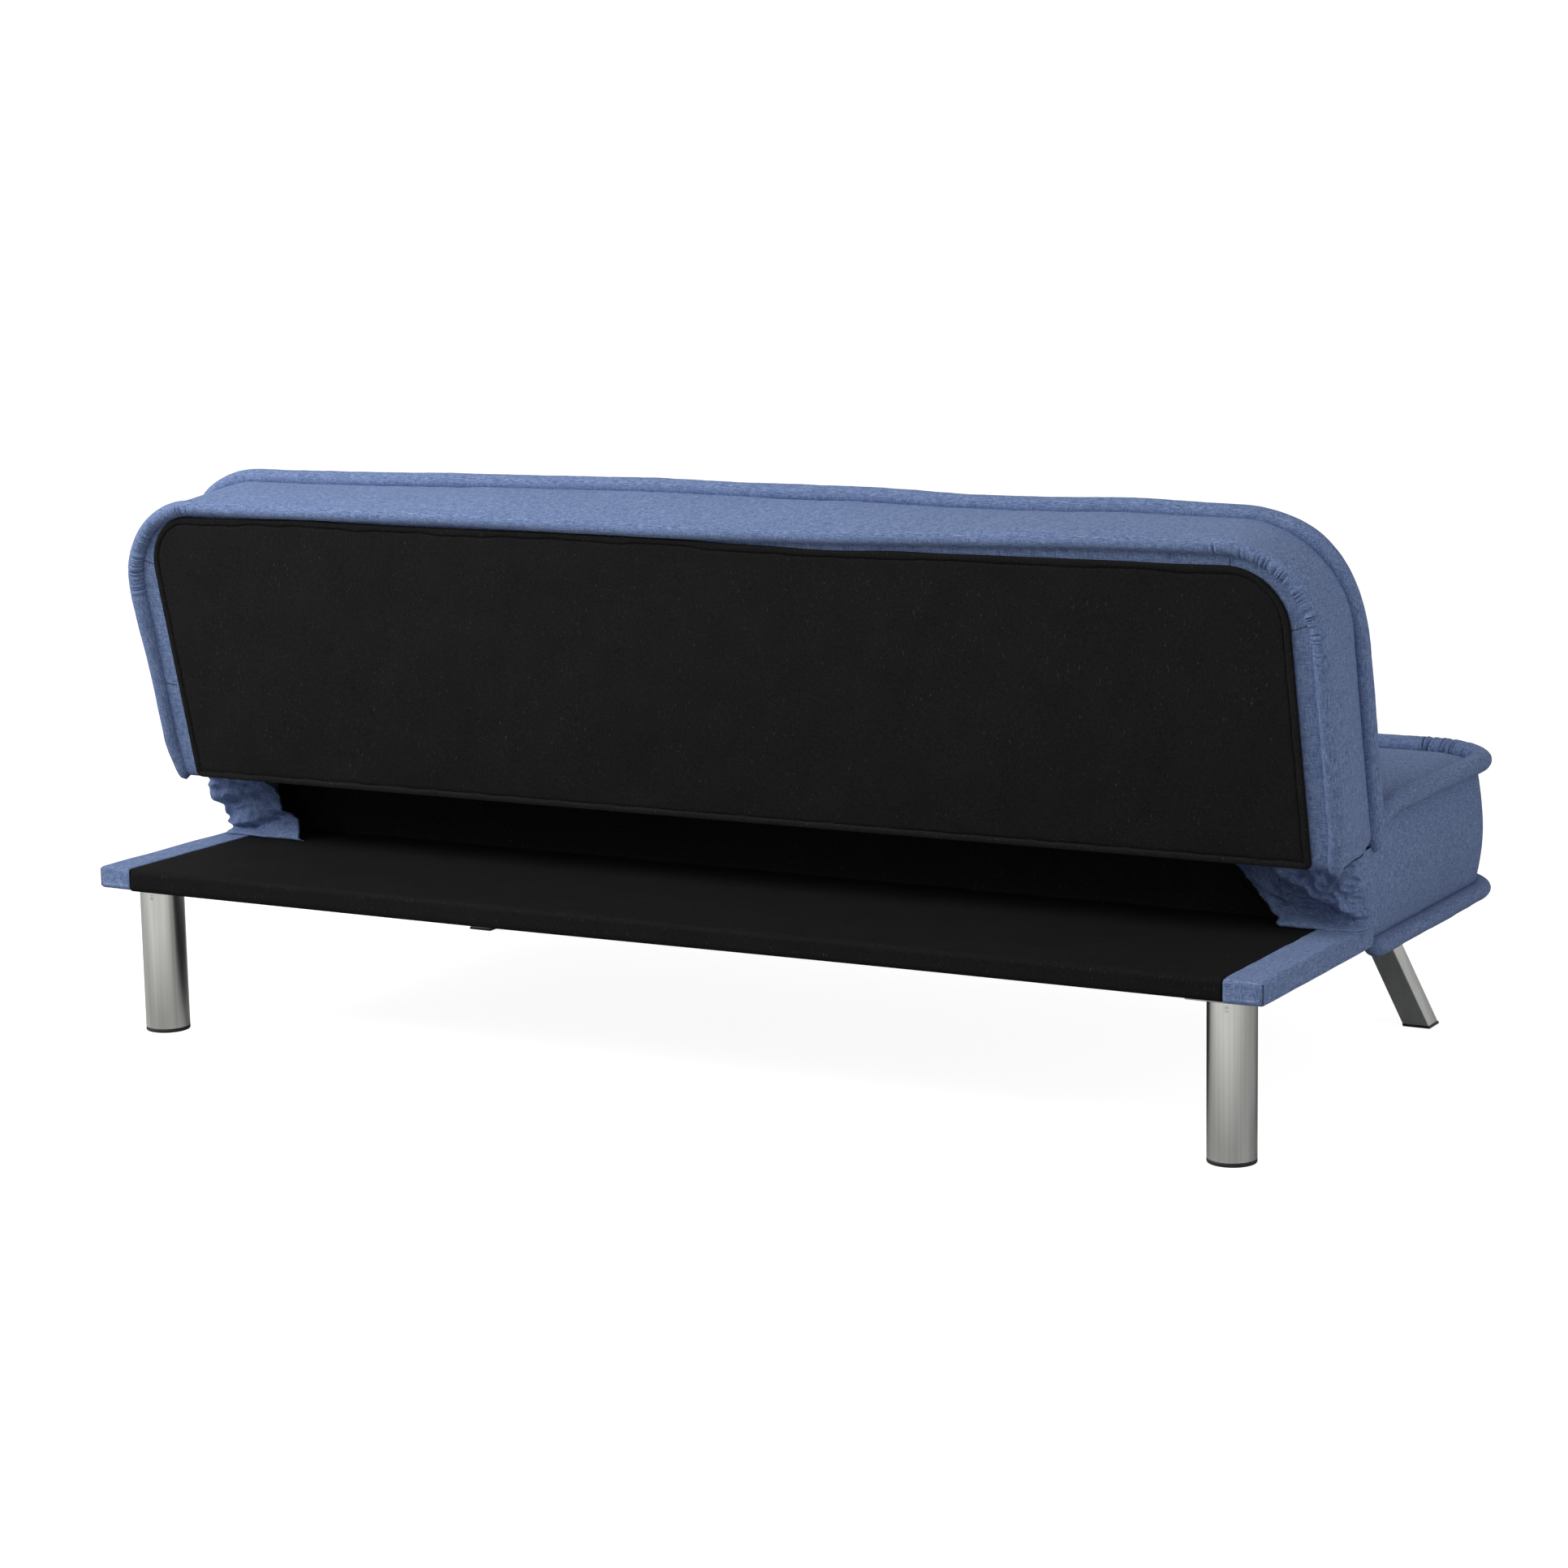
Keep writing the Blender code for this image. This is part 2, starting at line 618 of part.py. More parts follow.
def hinges(back):
    """A pressed arm on the seat rail and one on the back stile, turning on a headed pin."""
    pivot = at(0, PIVOT.x, PIVOT.y)
    pawl_pin = Vector((PAWL_D, PAWL_Z)) - PIVOT
    pawl_angle = NOSE_ANGLE - RECLINE
    notches = [pawl_angle + PAST_UPRIGHT, *(pawl_angle - FOLD * k / 2 for k in (0, 1, 2))]
    rim = disc_edge(radians(60), radians(-150), notches)
    strap = [(t - PIVOT_T, s - PIVOT_S) for t, s in BACK_ARM_STRAP]
    bore = circle((0, 0), PIN_RADIUS + PIN_CLEARANCE)
    pin_bore = circle(pawl_pin, PAWL_PIN_RADIUS + PIN_CLEARANCE)
    seat_arm = arc((0, 0), DISC_RADIUS, 35, 190, 10) + list(SEAT_ARM_TAIL)
    for side, sign in SIDES:
        place = pivot + Vector((sign * SEAT_ARM_X, 0, 0))
        slab(f"hinge_seat_arm_{side}", seat_arm, ARM_THICK, place, SIDE_VIEW, steel(),
             holes=(bore, pin_bore))
        slab(f"hinge_back_arm_{side}", rim + strap, ARM_THICK, Vector((sign * BACK_ARM_X, 0, 0)),
             SIDE_VIEW, steel(), holes=(bore,), parent=back)
        headed_pin(f"hinge_pivot_pin_{side}", sign, pivot, PIN_RADIUS)
        headed_pin(f"hinge_pawl_pin_{side}", sign, at(0, PAWL_D, PAWL_Z), PAWL_PIN_RADIUS)
        pawl(side, sign)


def headed_pin(name, sign, place, radius):
    """A rivet through both arms: a shank with a head beyond the outer arm."""
    inner_end = SEAT_ARM_X - ARM_THICK / 2
    outer_face = BACK_ARM_X + ARM_THICK / 2 + GAP
    shank = outer_face + PIN_LAP - inner_end
    pin = rod(name, radius, shank, place + Vector((sign * (inner_end + shank / 2), 0, 0)),
              SIDE_VIEW, steel())
    head = rod(f"{name}_head", PIN_HEAD, 0.003,
               place + Vector((sign * (outer_face + 0.0015), 0, 0)), SIDE_VIEW)
    union = pin.modifiers.new("Head", "BOOLEAN")
    union.operation = "UNION"
    union.object = head


def pawl(side, sign):
    """A lever whose nose drops into the disc's notches; it is drawn seated and rests lifted."""
    holder = empty(f"pawl_axis_{side}", at(0, PAWL_D, PAWL_Z), PAWL_LIFT)
    nose = PIVOT + Vector((DISC_RADIUS - NOTCH_DEPTH + 0.001, 0)) - Vector((PAWL_D, PAWL_Z))
    nose = nose + Vector((0, DISC_RADIUS * sin(NOSE_ANGLE)))
    outline = arc((0, 0), PAWL_BOSS, 150, 390, 12) + [(PAWL_BOSS, nose.y - 0.004)]
    outline += [(nose.x + u, nose.y + v) for u, v in PAWL_NOSE]
    bore = circle((0, 0), PAWL_PIN_RADIUS + PIN_CLEARANCE)
    slab(f"hinge_pawl_{side}", outline, ARM_THICK - 2 * GAP, Vector((sign * BACK_ARM_X, 0, 0)),
         SIDE_VIEW, steel(), holes=(bore,), parent=holder)


def bridging_fabric():
    """The gusset at each end and the black curtain between them, from the deck up to the backrest."""
    low = DECK_TOP + GAP
    for side, sign in SIDES:
        outline = [(sign * x, z) for x, z in
                   ((0.805, low), (0.897, low), (0.908, 0.300), (0.908, 0.3350), (0.805, 0.3350))]
        slab(f"gusset_{side}", outline, GUSSET_THICK, at(0, GUSSET_D, 0), FRONT_VIEW, blue_fabric())
    box("inner_curtain", at(-CURTAIN_HALF, CURTAIN_D - 0.001, low),
        at(CURTAIN_HALF, CURTAIN_D + 0.001, CURTAIN_TOP), black_felt())


def main():
    start_scene()
    deck()
    rear_legs()
    front_legs()
    seat_frame()
    seat_springs()
    seat_soft_parts()
    back = empty("backrest_axis", at(0, PIVOT.x, PIVOT.y), -RECLINE)
    back_frame(back)
    back_soft_parts(back)
    hinges(back)
    bridging_fabric()


main()
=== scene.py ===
"""Looks of the click-clack sofa bed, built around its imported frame.

Metres, +Z up. The sitter faces -Y, with +X at the sitter's left. Depths (d) run forward from the
deck's rear edge. The backrest's pieces are made in its own frame, where x runs along the sofa,
y rearward and z up the back from its lower edge; t is the depth forward from its rear face.
"""
import json
from math import cos, pi, radians, sin
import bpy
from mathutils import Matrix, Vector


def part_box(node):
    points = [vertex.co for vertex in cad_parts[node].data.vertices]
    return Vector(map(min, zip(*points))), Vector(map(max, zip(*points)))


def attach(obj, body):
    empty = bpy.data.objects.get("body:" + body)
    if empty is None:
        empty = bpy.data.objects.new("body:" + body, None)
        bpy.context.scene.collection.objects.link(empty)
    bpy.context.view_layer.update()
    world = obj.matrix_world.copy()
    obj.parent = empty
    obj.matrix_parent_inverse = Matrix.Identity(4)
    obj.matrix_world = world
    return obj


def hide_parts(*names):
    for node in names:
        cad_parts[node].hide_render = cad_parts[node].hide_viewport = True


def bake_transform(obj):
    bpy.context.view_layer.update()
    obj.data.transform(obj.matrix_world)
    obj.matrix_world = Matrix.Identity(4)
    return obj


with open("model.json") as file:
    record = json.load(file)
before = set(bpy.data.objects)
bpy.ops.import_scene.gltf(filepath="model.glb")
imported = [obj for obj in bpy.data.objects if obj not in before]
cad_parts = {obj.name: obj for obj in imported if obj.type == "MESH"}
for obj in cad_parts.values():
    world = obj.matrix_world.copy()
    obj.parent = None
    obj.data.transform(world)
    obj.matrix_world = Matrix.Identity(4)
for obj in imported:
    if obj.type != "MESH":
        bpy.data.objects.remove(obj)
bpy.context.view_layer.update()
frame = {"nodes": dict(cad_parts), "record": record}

from types import SimpleNamespace

import bmesh
import bpy
import numpy as np
from mathutils import Matrix, Vector
from mathutils.bvhtree import BVHTree
from mathutils.geometry import delaunay_2d_cdt

# Places read from the frame
DECK_LOW, DECK_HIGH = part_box("deck_cover")
REAR = DECK_HIGH.y
DECK_TOP = DECK_HIGH.z
DECK_BOTTOM = DECK_LOW.z
DECK_FRONT = REAR - DECK_LOW.y
DECK_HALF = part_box("deck_end_wrap_left")[1].x
FELT_HALF = DECK_HIGH.x
SEAT_LOW, SEAT_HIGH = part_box("seat_cover")
SEAT_HALF = SEAT_HIGH.x
SEAT_REAR = REAR - SEAT_HIGH.y
SEAT_FRONT = REAR - SEAT_LOW.y
SEAT_TOP = SEAT_HIGH.z
SEAT_BOTTOM = SEAT_LOW.z
BACK_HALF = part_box("back_cover")[1].x

# The backrest's own frame
RECLINE = radians(13.63)
BACK_FOOT_D = 0.2108
BACK_FOOT_Z = 0.343
BACK_HIGH = 0.4225
BACK_THICK = 0.150
BACK_UNDERCUT = 0.0266
REAR_CORNER = 0.120
FRONT_CORNER = 0.145
SEAT_CORNER = 0.102
BACK_PLACE = (Matrix.Translation((0, REAR - BACK_FOOT_D, BACK_FOOT_Z))
              @ Matrix.Rotation(-RECLINE, 4, "X"))

# The front legs' splay
LEG_SPLAY = 0.34

# The grain of the draft meshes of covers and foam
COVER_VOXEL = 0.011
FOAM_VOXEL = 0.014

# The studio: the room's own light, and softboxes as name, watts, size, place and aim
ROOM_LIGHT = 0.30
GLINT_LIGHT = 0.58
SOFTBOXES = (("rear_above", 60, (2.6, 1.8), (1.0, 1.9, 2.6), (0, 0.1, 0.5)),
             ("rear_left", 50, (1.6, 1.6), (3.0, 2.2, 2.2), (0.3, 0.2, 0.4)),
             ("right", 22, (2.0, 1.6), (-3.2, 0.8, 1.1), (-0.6, 0.0, 0.45)))

# The camera: its place, the way it looks, its roll in degrees and its lens
CAMERA_PLACE = (-2.597, 4.6355, 1.282)
CAMERA_WAY = (0.4841, -0.8580, -0.1716)
CAMERA_ROLL = -1.06
CAMERA_LENS = 86.8

SIDES = (("left", 1), ("right", -1))


# ---------------------------------------------------------------------------------------------
# Numbers that vary smoothly

def wander(run, wave, seed):
    """A smooth line of about -1 to 1 that rises and falls over roughly the wave's length."""
    rng = np.random.default_rng(seed)
    total = np.zeros_like(run, dtype=float)
    for share, stretch in ((0.5, 1.0), (0.3, 0.57), (0.2, 0.31)):
        length = wave * stretch * rng.uniform(0.85, 1.15)
        total += share * np.sin(2 * pi * run / length + rng.uniform(0, 2 * pi))
    return total


def drift(points, wave, seed, waves=9):
    """A smooth field of about -1 to 1 over points in the plane or in space."""
    rng = np.random.default_rng(seed)
    total = np.zeros(len(points))
    for _ in range(waves):
        way = rng.normal(size=points.shape[1])
        way *= 2 * pi / (wave * rng.uniform(0.6, 1.6) * np.linalg.norm(way))
        total += np.sin(points @ way + rng.uniform(0, 2 * pi))
    return total / waves ** 0.5


def smooth(x, low, high):
    """0 below low, 1 above high, and a smooth step between them."""
    share = np.clip((x - low) / (high - low), 0, 1)
    return share * share * (3 - 2 * share)


def hump(x, center, width):
    return np.exp(-((x - center) / width) ** 2)


# ---------------------------------------------------------------------------------------------
# Outlines

def arch(half, high, radius, low, step, fine=None):
    """A run up one end, over the top and down the other end, with round corners between them.
    It has finer steps at the corners, and turn is 1 there and 0 along the straights."""
    side, quarter, top = high - radius - low, radius * pi / 2, half - radius
    ease = 0.04
    bends = (side - ease, side + quarter + ease)
    legs = ((0, bends[0], step), (*bends, fine or step), (bends[1], side + quarter + top, step))
    climb = np.concatenate([np.linspace(a, b, round((b - a) / size), endpoint=False)
                            for a, b, size in legs])
    length = 2 * (side + quarter + top)
    run = np.concatenate([climb, [length / 2], length - climb[::-1]])
    sign = np.where(run <= length / 2, -1, 1)
    u = np.minimum(run, length - run)
    angle = np.clip((u - side) / radius, 0, pi / 2)
    x = half - radius + radius * np.cos(angle) - np.clip(u - side - quarter, 0, None)
    high_line = np.minimum(low + u, high - radius) + radius * np.sin(angle)
    turn = 1 - smooth(np.abs(u - side - quarter / 2), quarter * 0.42, quarter * 0.5 + ease)
    return SimpleNamespace(points=np.stack([sign * x, high_line], -1),
                           normals=np.stack([sign * np.cos(angle), np.sin(angle)], -1),
                           turn=turn, run=run, length=length)


def plate_outline(half, high, low, top_radius, low_radius, step):
    """A closed outline with two large and two small round corners, anticlockwise."""
    points = []
    corners = (((half - top_radius, high - top_radius), top_radius, 0),
               ((top_radius - half, high - top_radius), top_radius, 90),
               ((low_radius - half, low + low_radius), low_radius, 180),
               ((half - low_radius, low + low_radius), low_radius, 270))
    arcs = []
    for (cx, cy), radius, start in corners:
        count = max(2, round(radius * pi / 2 / step))
        angles = [radians(start + 90 * i / count) for i in range(count + 1)]
        arcs.append([(cx + radius * cos(a), cy + radius * sin(a)) for a in angles])
    for here, after in zip(arcs, arcs[1:] + arcs[:1]):
        points += here
        a, b = np.array(here[-1]), np.array(after[0])
        count = max(1, round(np.linalg.norm(b - a) / step))
        points += [tuple(a + (b - a) * i / count) for i in range(1, count)]
    return np.array(points)


def plate_depth(points, half, high, top_radius, low=-9.0, low_radius=0.0):
    """How far inside the edge of such an outline each point lies. Without a low edge, it is how
    far inside an arch's ends and top the point lies."""
    x, y = np.abs(points[:, 0]), points[:, 1]
    depth = np.minimum(half - x, np.minimum(high - y, y - low))
    for radius, cy, out in ((top_radius, high - top_radius, 1), (low_radius, low + low_radius, -1)):
        dx, dy = x - (half - radius), (y - cy) * out
        depth = np.where((dx > 0) & (dy > 0), radius - np.hypot(dx, dy), depth)
    return depth


# ---------------------------------------------------------------------------------------------
# Meshes

def add_mesh(name, points, faces, finish, place=None, angle=40, weld=None):
    draft = bpy.data.meshes.new("draft")
    draft.from_pydata([tuple(p) for p in points], [], [tuple(f) for f in faces])
    work = bmesh.new()
    work.from_mesh(draft)
    bpy.data.meshes.remove(draft)
    if weld:
        bmesh.ops.remove_doubles(work, verts=work.verts, dist=weld)
    bmesh.ops.recalc_face_normals(work, faces=work.faces)
    return add_object(name, work, finish, place, angle)


def add_object(name, work, finish, place=None, angle=40):
    """Turns a bmesh into an object of its own, smooth but for edges sharper than the angle."""
    mesh = bpy.data.meshes.new(name)
    work.to_mesh(mesh)
    work.free()
    mesh.shade_smooth()
    mesh.set_sharp_from_angle(angle=radians(angle))
    mesh.materials.append(finish)
    obj = bpy.data.objects.new(name, mesh)
    bpy.context.scene.collection.objects.link(obj)
    if place is not None:
        obj.matrix_world = place
    return obj


def grid_faces(rows, columns, closed_rows=False, closed_columns=False, first=0):
    i = np.arange(rows if closed_rows else rows - 1)[:, None]
    j = np.arange(columns if closed_columns else columns - 1)[None, :]
    ii, jj = (i + 1) % rows, (j + 1) % columns
    corners = [i * columns + j, i * columns + jj, ii * columns + jj, ii * columns + j]
    return (np.stack(np.broadcast_arrays(*corners), -1).reshape(-1, 4) + first).tolist()


def tubes(name, runs, finish, place=None, angle=60):
    """Closed skins, each over a row of closed rings, with both ends drawn shut."""
    points, faces = [], []
    for rings in runs:
        first, (count, sides) = len(points), rings.shape[:2]
        points += [*rings.reshape(-1, 3), rings[0].mean(0), rings[-1].mean(0)]
        faces += grid_faces(count, sides, closed_columns=True, first=first)
        start = first + count * sides
        last = start - sides
        faces += [(start, first + (j + 1) % sides, first + j) for j in range(sides)]
        faces += [(start + 1, last + j, last + (j + 1) % sides) for j in range(sides)]
    return add_mesh(name, points, faces, finish, place, angle)


def modified(obj, kind, **settings):
    modifier = obj.modifiers.new(kind.title(), kind)
    for key, value in settings.items():
        setattr(modifier, key, value)
    return obj


def applied(obj):
    """Makes an object's modifiers part of its mesh."""
    bpy.context.view_layer.update()
    graph = bpy.context.evaluated_depsgraph_get()
    mesh = bpy.data.meshes.new_from_object(obj.evaluated_get(graph))
    obj.modifiers.clear()
    obj.data = mesh
    return obj


def thickened(obj, thickness, offset=-1.0):
    return applied(modified(obj, "SOLIDIFY", thickness=thickness, offset=offset))


def remeshed(obj, voxel):
    return applied(modified(obj, "REMESH", mode="VOXEL", voxel_size=voxel))


def subdivided(obj):
    return modified(obj, "SUBSURF", levels=1, render_levels=1)


def coords(mesh, kind="co"):
    found = np.empty(len(mesh.vertices) * 3, np.float32)
    mesh.vertices.foreach_get(kind, found)
    return found.reshape(-1, 3).astype(float)


def set_coords(mesh, points):
    mesh.vertices.foreach_set("co", np.asarray(points, np.float32).ravel())
    mesh.update()


def filled_plate(half, high, low, top_radius, low_radius, insets, spacing):
    """Points and triangles of a flat plate, with rings along its edge and an even grid inside."""
    rings = [plate_outline(half - i, high - i, low + i, max(top_radius - i, 0.001),
                           max(low_radius - i, 0.001), max(spacing * 0.5, 0.003)) for i in insets]
    xs = np.arange(-half, half, spacing)
    ys = np.arange(low, high, spacing)
    inner = np.array([(x + (spacing / 2 if k % 2 else 0), y) for k, y in enumerate(ys) for x in xs])
    keep = plate_depth(inner, half, high, top_radius, low, low_radius) > insets[-1] + spacing * 0.5
    points = [Vector(p) for p in np.vstack([*rings, inner[keep]])]
    count = len(rings[0])
    edges = [(i, (i + 1) % count) for i in range(count)]
    made, _, faces, *_ = delaunay_2d_cdt(points, edges, [], 1, 1e-6)
    return np.array([tuple(p) for p in made]), [tuple(f) for f in faces]


def lathe(name, profile, center, finish, sides=96, closed=False):
    """A profile of (radius, height) points turned about a vertical axis."""
    profile = np.array(profile, float)
    angles = np.linspace(0, 2 * pi, sides, endpoint=False)
    rings = np.stack([profile[:, None, 0] * np.cos(angles), profile[:, None, 0] * np.sin(angles),
                      np.repeat(profile[:, None, 1], sides, 1)], -1)
    faces = grid_faces(len(profile), sides, closed_rows=closed, closed_columns=True)
    return add_mesh(name, rings.reshape(-1, 3) + np.array(center), faces, finish, None, 35,
                    None if closed else 0.00005)


# ---------------------------------------------------------------------------------------------
# Materials

class Nodes:
    """A node tree in the making, with short ways to add nodes."""

    def __init__(self, tree):
        self.tree = tree

    def add(self, kind, **settings):
        node = self.tree.nodes.new(kind)
        for key, value in settings.items():
            setattr(node, key, value)
        return node

    def feed(self, node, **sources):
        """Sets a node's inputs, by name or by n and a number, from values or other nodes' outputs."""
        for key, value in sources.items():
            slot = node.inputs[int(key[1:]) if key[1:].isdigit() else key]
            if isinstance(value, bpy.types.NodeSocket):
                self.tree.links.new(value, slot)
            else:
                slot.default_value = value
        return node

    def math(self, operation, a, b=0.0, c=0.0):
        return self.feed(self.add("ShaderNodeMath", operation=operation), n0=a, n1=b, n2=c).outputs[0]

    def span(self, source, low, high, start=0.0, end=1.0):
        """Maps start..end to low..high."""
        node = self.add("ShaderNodeMapRange")
        return self.feed(node, n0=source, n1=start, n2=end, n3=low, n4=high).outputs[0]


class Material(Nodes):
    """A node material in the making."""

    def __init__(self, name):
        self.made = bpy.data.materials.new(name)
        self.made.use_nodes = True
        super().__init__(self.made.node_tree)
        self.shader = self.tree.nodes["Principled BSDF"]
        self.place = self.add("ShaderNodeTexCoord").outputs["Object"]

    def noise(self, scale, detail=2.0, rough=0.5):
        """Noise whose grain is stretched as its scale's three numbers say, in grains a metre."""
        mapped = self.feed(self.add("ShaderNodeMapping"), Vector=self.place, Scale=scale)
        node = self.add("ShaderNodeTexNoise")
        self.feed(node, Vector=mapped.outputs[0], Scale=1.0, Detail=detail, Roughness=rough)
        return node.outputs["Fac"]

    def ramp(self, source, *stops):
        """A colour ramp; each stop is a place from 0 to 1 and a colour."""
        node = self.add("ShaderNodeValToRGB")
        elements = node.color_ramp.elements
        while len(elements) < len(stops):
            elements.new(0.5)
        for element, (place, color) in zip(elements, stops):
            element.position = place
            element.color = (*color, 1)
        self.feed(node, Fac=source)
        return node.outputs["Color"]

    def mix(self, share, a, b, way="MIX"):
        node = self.add("ShaderNodeMix", data_type="RGBA", blend_type=way)
        return self.feed(node, n0=share, n6=a, n7=b).outputs[2]

    def bump(self, height, distance, strength=1.0, under=None):
        node = self.feed(self.add("ShaderNodeBump"), Height=height, Distance=distance, Strength=strength)
        if under is not None:
            self.feed(node, Normal=under)
        return node.outputs[0]

    def finish(self, **inputs):
        for key, value in inputs.items():
            self.feed(self.shader, **{key.replace("_", " "): value})
        return self.made


def woven(m, pitch):
    """Yarns both ways in the plane of the face: the over-and-under of the weave, and streaks."""
    place = m.feed(m.add("ShaderNodeSeparateXYZ"), Vector=m.place).outputs
    normal = m.add("ShaderNodeTexCoord").outputs["Normal"]
    facing = m.feed(m.add("ShaderNodeSeparateXYZ"), Vector=normal).outputs
    waves = [m.math("SINE", m.math("MULTIPLY", place[i], pi / pitch)) for i in range(3)]
    weave, streaks, weight = 0.0, 0.0, 0.0
    for i in range(3):
        scale = [1050, 1050, 1050]
        scale[i] = 110
        turned = m.math("GREATER_THAN", m.math("ABSOLUTE", facing[i]), 0.6)
        seen = m.math("SUBTRACT", 1.0, turned)
        streaks = m.math("ADD", streaks, m.math("MULTIPLY", m.noise(scale, 2, 0.5), seen))
        weight = m.math("ADD", weight, seen)
        crossing = m.math("MULTIPLY", waves[(i + 1) % 3], waves[(i + 2) % 3])
        weave = m.math("ADD", weave, m.math("MULTIPLY", crossing, turned))
    return weave, m.math("DIVIDE", streaks, weight)


def blue_linen(name, tone=1.0):
    """Heathered denim-blue linen: pale and dark yarns both ways, matt, with a little sheen."""
    m = Material(name)
    weave, streaks = woven(m, 0.0012)
    slubs = m.noise((160, 160, 160), 3, 0.6)
    specks = m.noise((1300, 1300, 1300), 2, 0.6)
    blotch = m.noise((7, 7, 7), 3)
    heather = m.math("ADD", m.math("MULTIPLY", streaks, 0.62), m.math("MULTIPLY", specks, 0.26))
    heather = m.math("ADD", heather, m.math("MULTIPLY", slubs, 0.12))
    dark = tuple(c * tone for c in (0.058, 0.092, 0.205))
    middle = tuple(c * tone for c in (0.148, 0.212, 0.390))
    pale = tuple(c * tone for c in (0.295, 0.375, 0.560))
    yarns = m.ramp(heather, (0.37, dark), (0.50, middle), (0.63, pale))
    color = m.mix(0.30, yarns, m.ramp(blotch, (0.35, (0.86,) * 3), (0.65, (1.0,) * 3)), "MULTIPLY")
    soft = m.bump(m.noise((38, 38, 38), 3), 0.0016, 0.45)
    grain = m.bump(heather, 0.0008, 0.5, soft)
    threads_bump = m.bump(weave, 0.00018, 0.4, grain)
    return m.finish(Base_Color=color, Roughness=m.span(specks, 0.80, 0.97), Normal=threads_bump,
                    Sheen_Weight=0.08, Sheen_Roughness=0.5, Sheen_Tint=(0.70, 0.80, 1.0, 1),
                    Specular_IOR_Level=0.12)


def black_felt(name, base=0.0120, gloss=0.06, rough=0.8):
    """Black non-woven felt: fine tangled fibres, with a few pale ones."""
    m = Material(name)
    fibres = m.noise((260, 900, 900), 3, 0.7)
    other = m.noise((900, 900, 220), 3, 0.7)
    lint = m.noise((500, 500, 140), 1, 0.5)
    cloud = m.noise((14, 14, 14), 3)
    tangle = m.math("MULTIPLY", m.math("ADD", fibres, other), 0.5)
    body = m.ramp(tangle, (0.35, (base * 0.62,) * 3), (0.62, (base * 1.7,) * 3))
    pale = m.ramp(lint, (0.70, (0, 0, 0)), (0.78, (0.035, 0.035, 0.036)))
    color = m.mix(0.5, body, m.ramp(cloud, (0.3, (0.72,) * 3), (0.7, (1.0,) * 3)), "MULTIPLY")
    color = m.mix(1.0, color, pale, "ADD")
    soft = m.bump(cloud, 0.0015, 0.35)
    return m.finish(Base_Color=color, Roughness=m.span(tangle, rough, rough + 0.18),
                    Normal=m.bump(tangle, 0.0007, 0.55, soft), Specular_IOR_Level=gloss)


def drawn_metal(name, color, rough, streak, scale=(240, 240, 2.2)):
    """Metal with fine lines along its length, broader painted reflection bands in its colour, and faint
    clouding.
    """
    m = Material(name)
    lines = m.noise(scale, 4, 0.6)
    # Painted reflection: these broad bands, weighted three to one over the fine lines in the colour
    # below, stand in for the streaky reflections along a round tube; streak sets how strong both are.
    painted_reflection_bands = m.noise((scale[0] * 0.16, scale[1] * 0.16, scale[2] * 0.4), 2)
    smudge = m.noise((18, 18, 9), 4)
    low = tuple(c * (1 - streak) for c in color)
    high = tuple(min(1.0, c * (1 + streak * 0.6)) for c in color)
    shade = m.ramp(m.math("ADD", m.math("MULTIPLY", lines, 0.25), m.math("MULTIPLY", painted_reflection_bands, 0.75)),
                   (0.36, low), (0.64, high))
    roughness = m.math("ADD", m.span(lines, rough * 0.8, rough * 1.3), m.span(smudge, -0.02, 0.05))
    return m.finish(Base_Color=shade, Metallic=1.0, Roughness=roughness,
                    Normal=m.bump(lines, 0.00012, 0.25))


def sawn_wood(name, light, dark):
    """Sawn softwood: grain lines along the piece, and a rough sawn face."""
    m = Material(name)
    wave = m.noise((3, 55, 55), 4, 0.6)
    fine = m.noise((18, 520, 520), 3, 0.6)
    rings = m.math("FRACT", m.math("MULTIPLY", wave, 6.0))
    color = m.ramp(rings, (0.0, dark), (0.35, light), (0.8, light), (1.0, dark))
    color = m.mix(0.25, color, m.ramp(fine, (0.3, (0.6,) * 3), (0.7, (1.0,) * 3)), "MULTIPLY")
    return m.finish(Base_Color=color, Roughness=m.span(fine, 0.55, 0.8),
                    Normal=m.bump(fine, 0.0004, 0.5), Specular_IOR_Level=0.3)


def cell_foam(name):
    """Cream cut foam with open cells."""
    m = Material(name)
    cells = m.feed(m.add("ShaderNodeTexVoronoi"), Vector=m.place, Scale=650.0).outputs["Distance"]
    cloud = m.noise((20, 20, 20), 3)
    color = m.mix(cloud, (0.80, 0.73, 0.50, 1), (0.88, 0.82, 0.62, 1))
    color = m.mix(0.3, color, m.ramp(cells, (0.1, (0.55,) * 3), (0.5, (1.0,) * 3)), "MULTIPLY")
    return m.finish(Base_Color=color, Roughness=0.95, Normal=m.bump(cells, 0.0006, 0.6),
                    Specular_IOR_Level=0.15)


def moulded_plastic(name, shade):
    m = Material(name)
    grain = m.noise((1400, 1400, 1400), 2)
    cloud = m.noise((60, 60, 60), 2)
    color = m.ramp(cloud, (0.3, (shade * 0.8,) * 3), (0.7, (shade * 1.3,) * 3))
    return m.finish(Base_Color=color, Roughness=m.span(grain, 0.38, 0.55),
                    Normal=m.bump(grain, 0.0001, 0.3), Specular_IOR_Level=0.45)


def elastic_webbing(name):
    m = Material(name)
    ribs = m.noise((30, 900, 260), 2)
    color = m.ramp(ribs, (0.35, (0.02, 0.02, 0.023)), (0.65, (0.075, 0.075, 0.08)))
    return m.finish(Base_Color=color, Roughness=0.85, Normal=m.bump(ribs, 0.0004, 0.7))


def dark_thread(name, color):
    m = Material(name)
    twist = m.noise((700, 700, 700), 2)
    shade = m.ramp(twist, (0.3, tuple(c * 0.6 for c in color)), (0.7, color))
    return m.finish(Base_Color=shade, Roughness=0.8, Normal=m.bump(twist, 0.0002, 0.4))


